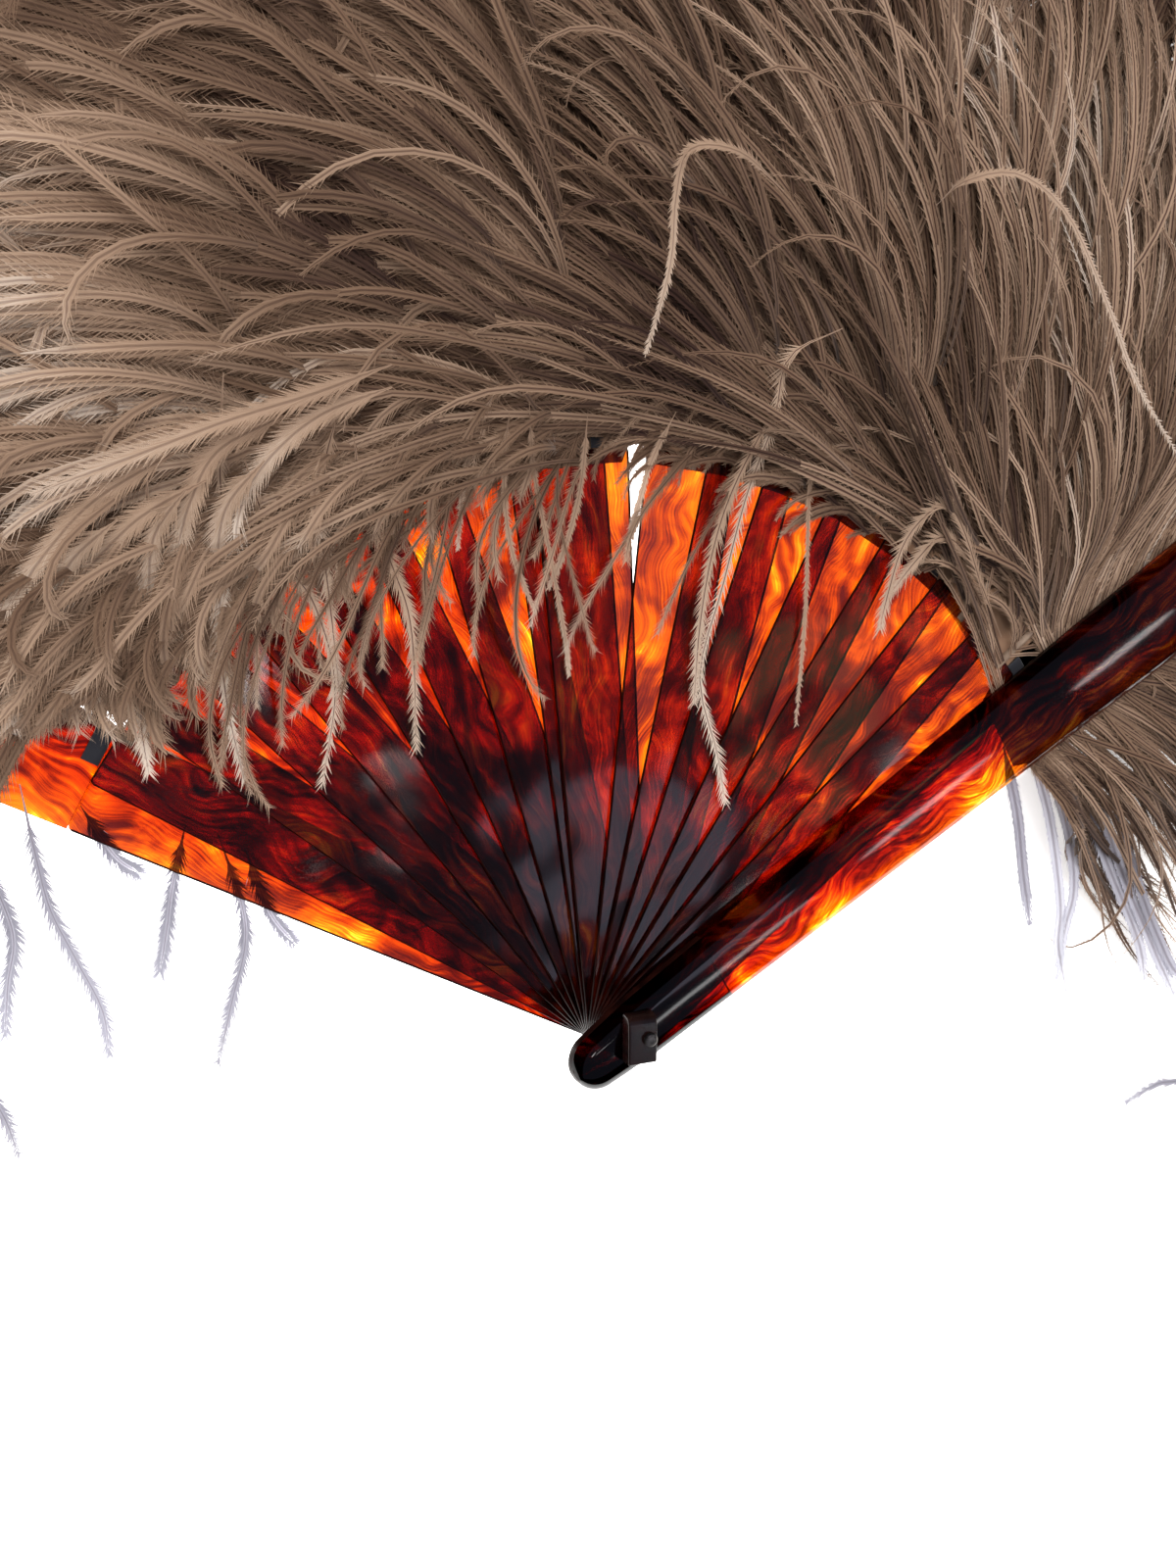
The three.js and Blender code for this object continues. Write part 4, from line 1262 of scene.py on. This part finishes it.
# These loose barbs lie over the lit floor and take the pale tints, painted backlight
paintedBacklitKinds = ("air", "strip")
wisps = [
    {"on": "blade_06", "kind": "long", "tone": 0.62,
     "pixels": [(228, 380, 22), (224, 470, 12), (229, 560, 5), (226, 650, 3), (232, 720, 3),
                (250, 800, 2)]},
    {"on": "blade_04", "kind": "long", "tone": 0.62,
     "pixels": [(150, 470, 20), (150, 560, 8), (147, 640, 4), (144, 735, 2), (152, 790, 2)]},
    {"on": "blade_04", "kind": "short", "tone": 0.50,
     "pixels": [(240, 500, 14), (218, 580, 6), (192, 625, 4), (168, 668, 3)]},
    {"on": "blade_06", "kind": "long", "tone": 0.55,
     "pixels": [(250, 470, 18), (270, 530, 8), (296, 580, 4), (322, 620, 3), (342, 700, 2), (328, 806, 2)]},
    {"on": "blade_07", "kind": "long", "tone": 0.52,
     "pixels": [(345, 420, 18), (330, 480, 9), (328, 540, 5), (336, 610, 3), (347, 712, 2)]},
    {"on": "blade_07", "kind": "long", "tone": 0.50,
     "pixels": [(360, 440, 18), (372, 512, 8), (402, 582, 4), (420, 645, 3), (425, 770, 2)]},
    {"on": "blade_08", "kind": "thin", "tone": 0.50,
     "pixels": [(505, 400, 16), (490, 432, 9), (474, 485, 4), (467, 562, 2)]},
    {"on": "blade_09", "kind": "thin", "tone": 0.48,
     "pixels": [(540, 410, 14), (545, 480, 6), (560, 560, 3), (575, 640, 2), (581, 690, 2)]},
    {"on": "blade_09", "kind": "thin", "tone": 0.46,
     "pixels": [(520, 420, 14), (514, 480, 6), (522, 560, 3), (546, 625, 2)]},
    {"on": "blade_10", "kind": "thin", "tone": 0.46,
     "pixels": [(600, 420, 14), (592, 500, 5), (576, 560, 3), (560, 600, 2)]},
    {"on": "blade_11", "kind": "thin", "tone": 0.55,
     "pixels": [(690, 420, 14), (665, 470, 6), (650, 520, 3), (640, 560, 2)]},
    {"on": "blade_13", "kind": "long", "tone": 0.62,
     "pixels": [(860, 335, 24), (805, 365, 20), (790, 430, 12), (762, 505, 5), (737, 600, 3), (714, 690, 2),
                (732, 770, 2), (740, 822, 2)]},
    {"on": "blade_13", "kind": "long", "tone": 0.52,
     "pixels": [(800, 400, 16), (752, 490, 7), (728, 560, 4), (714, 640, 3), (708, 720, 2)]},
    {"on": "blade_14", "kind": "thin", "tone": 0.45,
     "pixels": [(835, 440, 14), (826, 500, 5), (822, 620, 2), (812, 742, 2)]},
    {"on": "blade_16", "kind": "long", "tone": 0.50,
     "pixels": [(1012, 640, 6), (985, 545, 14), (962, 516, 15), (925, 550, 9), (905, 610, 3),
                (898, 642, 2)]},
    {"on": "blade_16", "kind": "long", "tone": 0.48,
     "pixels": [(1022, 650, 5), (990, 572, 10), (962, 548, 11), (935, 572, 7), (908, 606, 3)]},
    {"on": "front", "kind": "arch", "tone": 0.56,
     "pixels": [(955, 210, 40), (985, 185, 50), (1040, 178, 50), (1090, 220, 45), (1130, 310, 40),
                (1160, 390, 36), (1205, 470, 30)]},
    {"on": "blade_15", "kind": "arch", "tone": 0.50,
     "pixels": [(800, 195, 40), (755, 155, 48), (705, 152, 46), (690, 200, 40), (684, 270, 34),
                (658, 365, 26)]},
    {"on": "blade_02", "kind": "air", "tone": 0.36,
     "pixels": [(20, 800, 6), (38, 880, 3), (52, 930, 3), (78, 980, 3), (104, 1030, 3), (112, 1078, 3)]},
    {"on": "rear", "kind": "air", "tone": 0.36,
     "pixels": [(-30, 850, 6), (2, 920, 4), (14, 960, 4), (8, 1005, 3), (5, 1058, 3)]},
    {"on": "rear", "kind": "air", "tone": 0.34,
     "pixels": [(190, 838, -1.8), (176, 905, -1.4), (170, 950, -1.2), (163, 992, -1.0)]},
    {"on": "rear", "kind": "air", "tone": 0.34,
     "pixels": [(222, 850, -1.8), (246, 920, -1.4), (250, 965, -1.2), (236, 1025, -1.0),
                (222, 1088, -1.0)]},
    {"on": "rear", "kind": "air", "tone": 0.34,
     "pixels": [(250, 866, -1.8), (275, 930, -1.4), (300, 962, -1.2)]},
    {"on": "rear", "kind": "air", "tone": 0.34,
     "pixels": [(82, 822, -1.8), (116, 872, -1.4), (140, 890, -1.2)]},
    {"on": "rear", "kind": "air", "tone": 0.30,
     "pixels": [(-50, 800, 4), (-78, 900, 6), (-66, 1010, 5), (-20, 1100, 2), (4, 1140, 1), (20, 1182, 0)]},
    {"on": "front", "kind": "strip", "tone": 0.30,
     "pixels": [(1024, 762, -3), (1038, 830, -9), (1044, 890, -12), (1051, 944, -14)]},
    {"on": "front", "kind": "strip", "tone": 0.62,
     "pixels": [(1046, 748, -3), (1070, 830, -9), (1082, 920, -14), (1080, 965, -15), (1088, 1012, -16)]},
    {"on": "front", "kind": "strip", "tone": 0.55,
     "pixels": [(1056, 742, -3), (1088, 840, -9), (1096, 905, -13), (1086, 950, -15), (1078, 1000, -16)]},
    {"on": "front", "kind": "strip", "tone": 0.55,
     "pixels": [(1080, 730, -3), (1122, 860, -10), (1160, 955, -15), (1168, 1000, -16)]},
    {"on": "front", "kind": "strip", "tone": 0.52,
     "pixels": [(1094, 720, -3), (1138, 870, -10), (1176, 965, -15), (1198, 1015, -16)]},
    {"on": "front", "kind": "strip", "tone": 0.40,
     "pixels": [(1110, 710, -3), (1158, 890, -10), (1190, 975, -15), (1206, 1000, -16)]},
    {"on": "front", "kind": "air", "tone": 0.25,
     "pixels": [(1190, 640, 0), (1262, 860, 14), (1282, 1000, 26), (1225, 1092, 34), (1180, 1106, 35),
                (1148, 1126, 38)]},
    {"on": "front", "kind": "air", "tone": 0.25,
     "pixels": [(1200, 640, 0), (1285, 880, 16), (1300, 1010, 30), (1256, 1080, 36), (1216, 1110, 40),
                (1204, 1124, 49)]},
    {"on": "blade_07", "kind": "vane", "tone": 0.56,
     "pixels": [(400, 372, 22), (319, 402, 24), (230, 430, 24), (130, 468, 22), (30, 505, 18)]},
    {"on": "blade_07", "kind": "vane", "tone": 0.60,
     "pixels": [(400, 395, 20), (330, 422, 20), (280, 462, 18), (235, 522, 12)]},
    {"on": "blade_06", "kind": "vane", "tone": 0.54,
     "pixels": [(300, 420, 20), (225, 458, 19), (195, 510, 16), (179, 566, 10)]},
    {"on": "blade_05", "kind": "vane", "tone": 0.58,
     "pixels": [(210, 490, 19), (143, 528, 16), (95, 575, 12), (50, 626, 10)]},
    {"on": "blade_05", "kind": "vane", "tone": 0.56,
     "pixels": [(190, 455, 20), (100, 508, 17), (50, 560, 14), (6, 622, 12)]},
    {"on": "blade_04", "kind": "vane", "tone": 0.66,
     "pixels": [(120, 530, 22), (75, 570, 14), (55, 610, 10), (46, 650, 8)]},
    {"on": "blade_05", "kind": "vane", "tone": 0.64,
     "pixels": [(190, 500, 22), (158, 545, 14), (152, 600, 8), (155, 658, 5)]},
    {"on": "blade_06", "kind": "vane", "tone": 0.66,
     "pixels": [(270, 470, 22), (230, 520, 14), (222, 585, 7), (228, 652, 4)]},
    {"on": "blade_03", "kind": "vane", "tone": 0.58,
     "pixels": [(70, 590, 14), (40, 640, 10), (22, 690, 8), (12, 740, 6)]},
]


# A smooth curve through the points, once each has found its height above what lies under it
def wispRoute(pixels):
    spots = []
    for px, py, lift in pixels:
        spot = pixelToFan(px, py, wisp["firstHeight"])
        for _ in range(wisp["rounds"]):
            under = float(bladeTop(np.array(spot.x), np.array(spot.y), wisp["reach"]))
            spot = pixelToFan(px, py, under + lift * mm)
        spots.append(spot)
    ends = [2 * spots[0] - spots[1]] + spots + [2 * spots[-1] - spots[-2]]
    route = []
    for i in np.linspace(0, len(spots) - 1 - wisp["endGap"], wisp["steps"]):
        k, u = int(i), i - int(i)
        a, b, c, d = ends[k:k + 4]
        square, cube = 2 * a - 5 * b + 4 * c - d, 3 * b - a - 3 * c + d
        route.append(0.5 * ((2 * b) + (c - a) * u + square * u * u + cube * u ** 3))
    return np.array([list(p) for p in route])


def wispLot(rng, kind, tone, route):
    look, t = wispKinds[kind], np.linspace(0, 1, wisp["steps"])[None]
    tipPoint, rootPoint = wisp["point"]
    half = look["half"] * np.clip((1 - t) * tipPoint, wisp["leastPoint"], 1)
    half = half * np.clip(t * rootPoint, wisp["leastPoint"], 1)
    tones = tone - look["darker"] + wisp["tipTone"] * t
    return strandMesh(route[None], half, np.zeros(1), tones, rng, look["fringe"], look["reachMm"],
                      wisp["outward"], wisp["footMm"], tipShare=wisp["tipShare"], line=look["line"])


def makeWisps():
    rng = np.random.default_rng(wisp["seed"])
    groups = {}
    for row in wisps:
        group = (row["on"], row["kind"] in paintedBacklitKinds)
        groups.setdefault(group, []).append((row["kind"], row["tone"], wispRoute(row["pixels"])))
    for (body, paintedBacklit), group in groups.items():
        lots = [wispLot(rng, *strand) for strand in group]
        name = ("loosePaintedBacklit." if paintedBacklit else "loose.") + body
        obj = joinStrands(name, lots, barbPaintedBacklit if paintedBacklit else barbFibre)
        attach(obj, body)
        pressFlat(obj)


makeWisps()
print("loose barbs made")
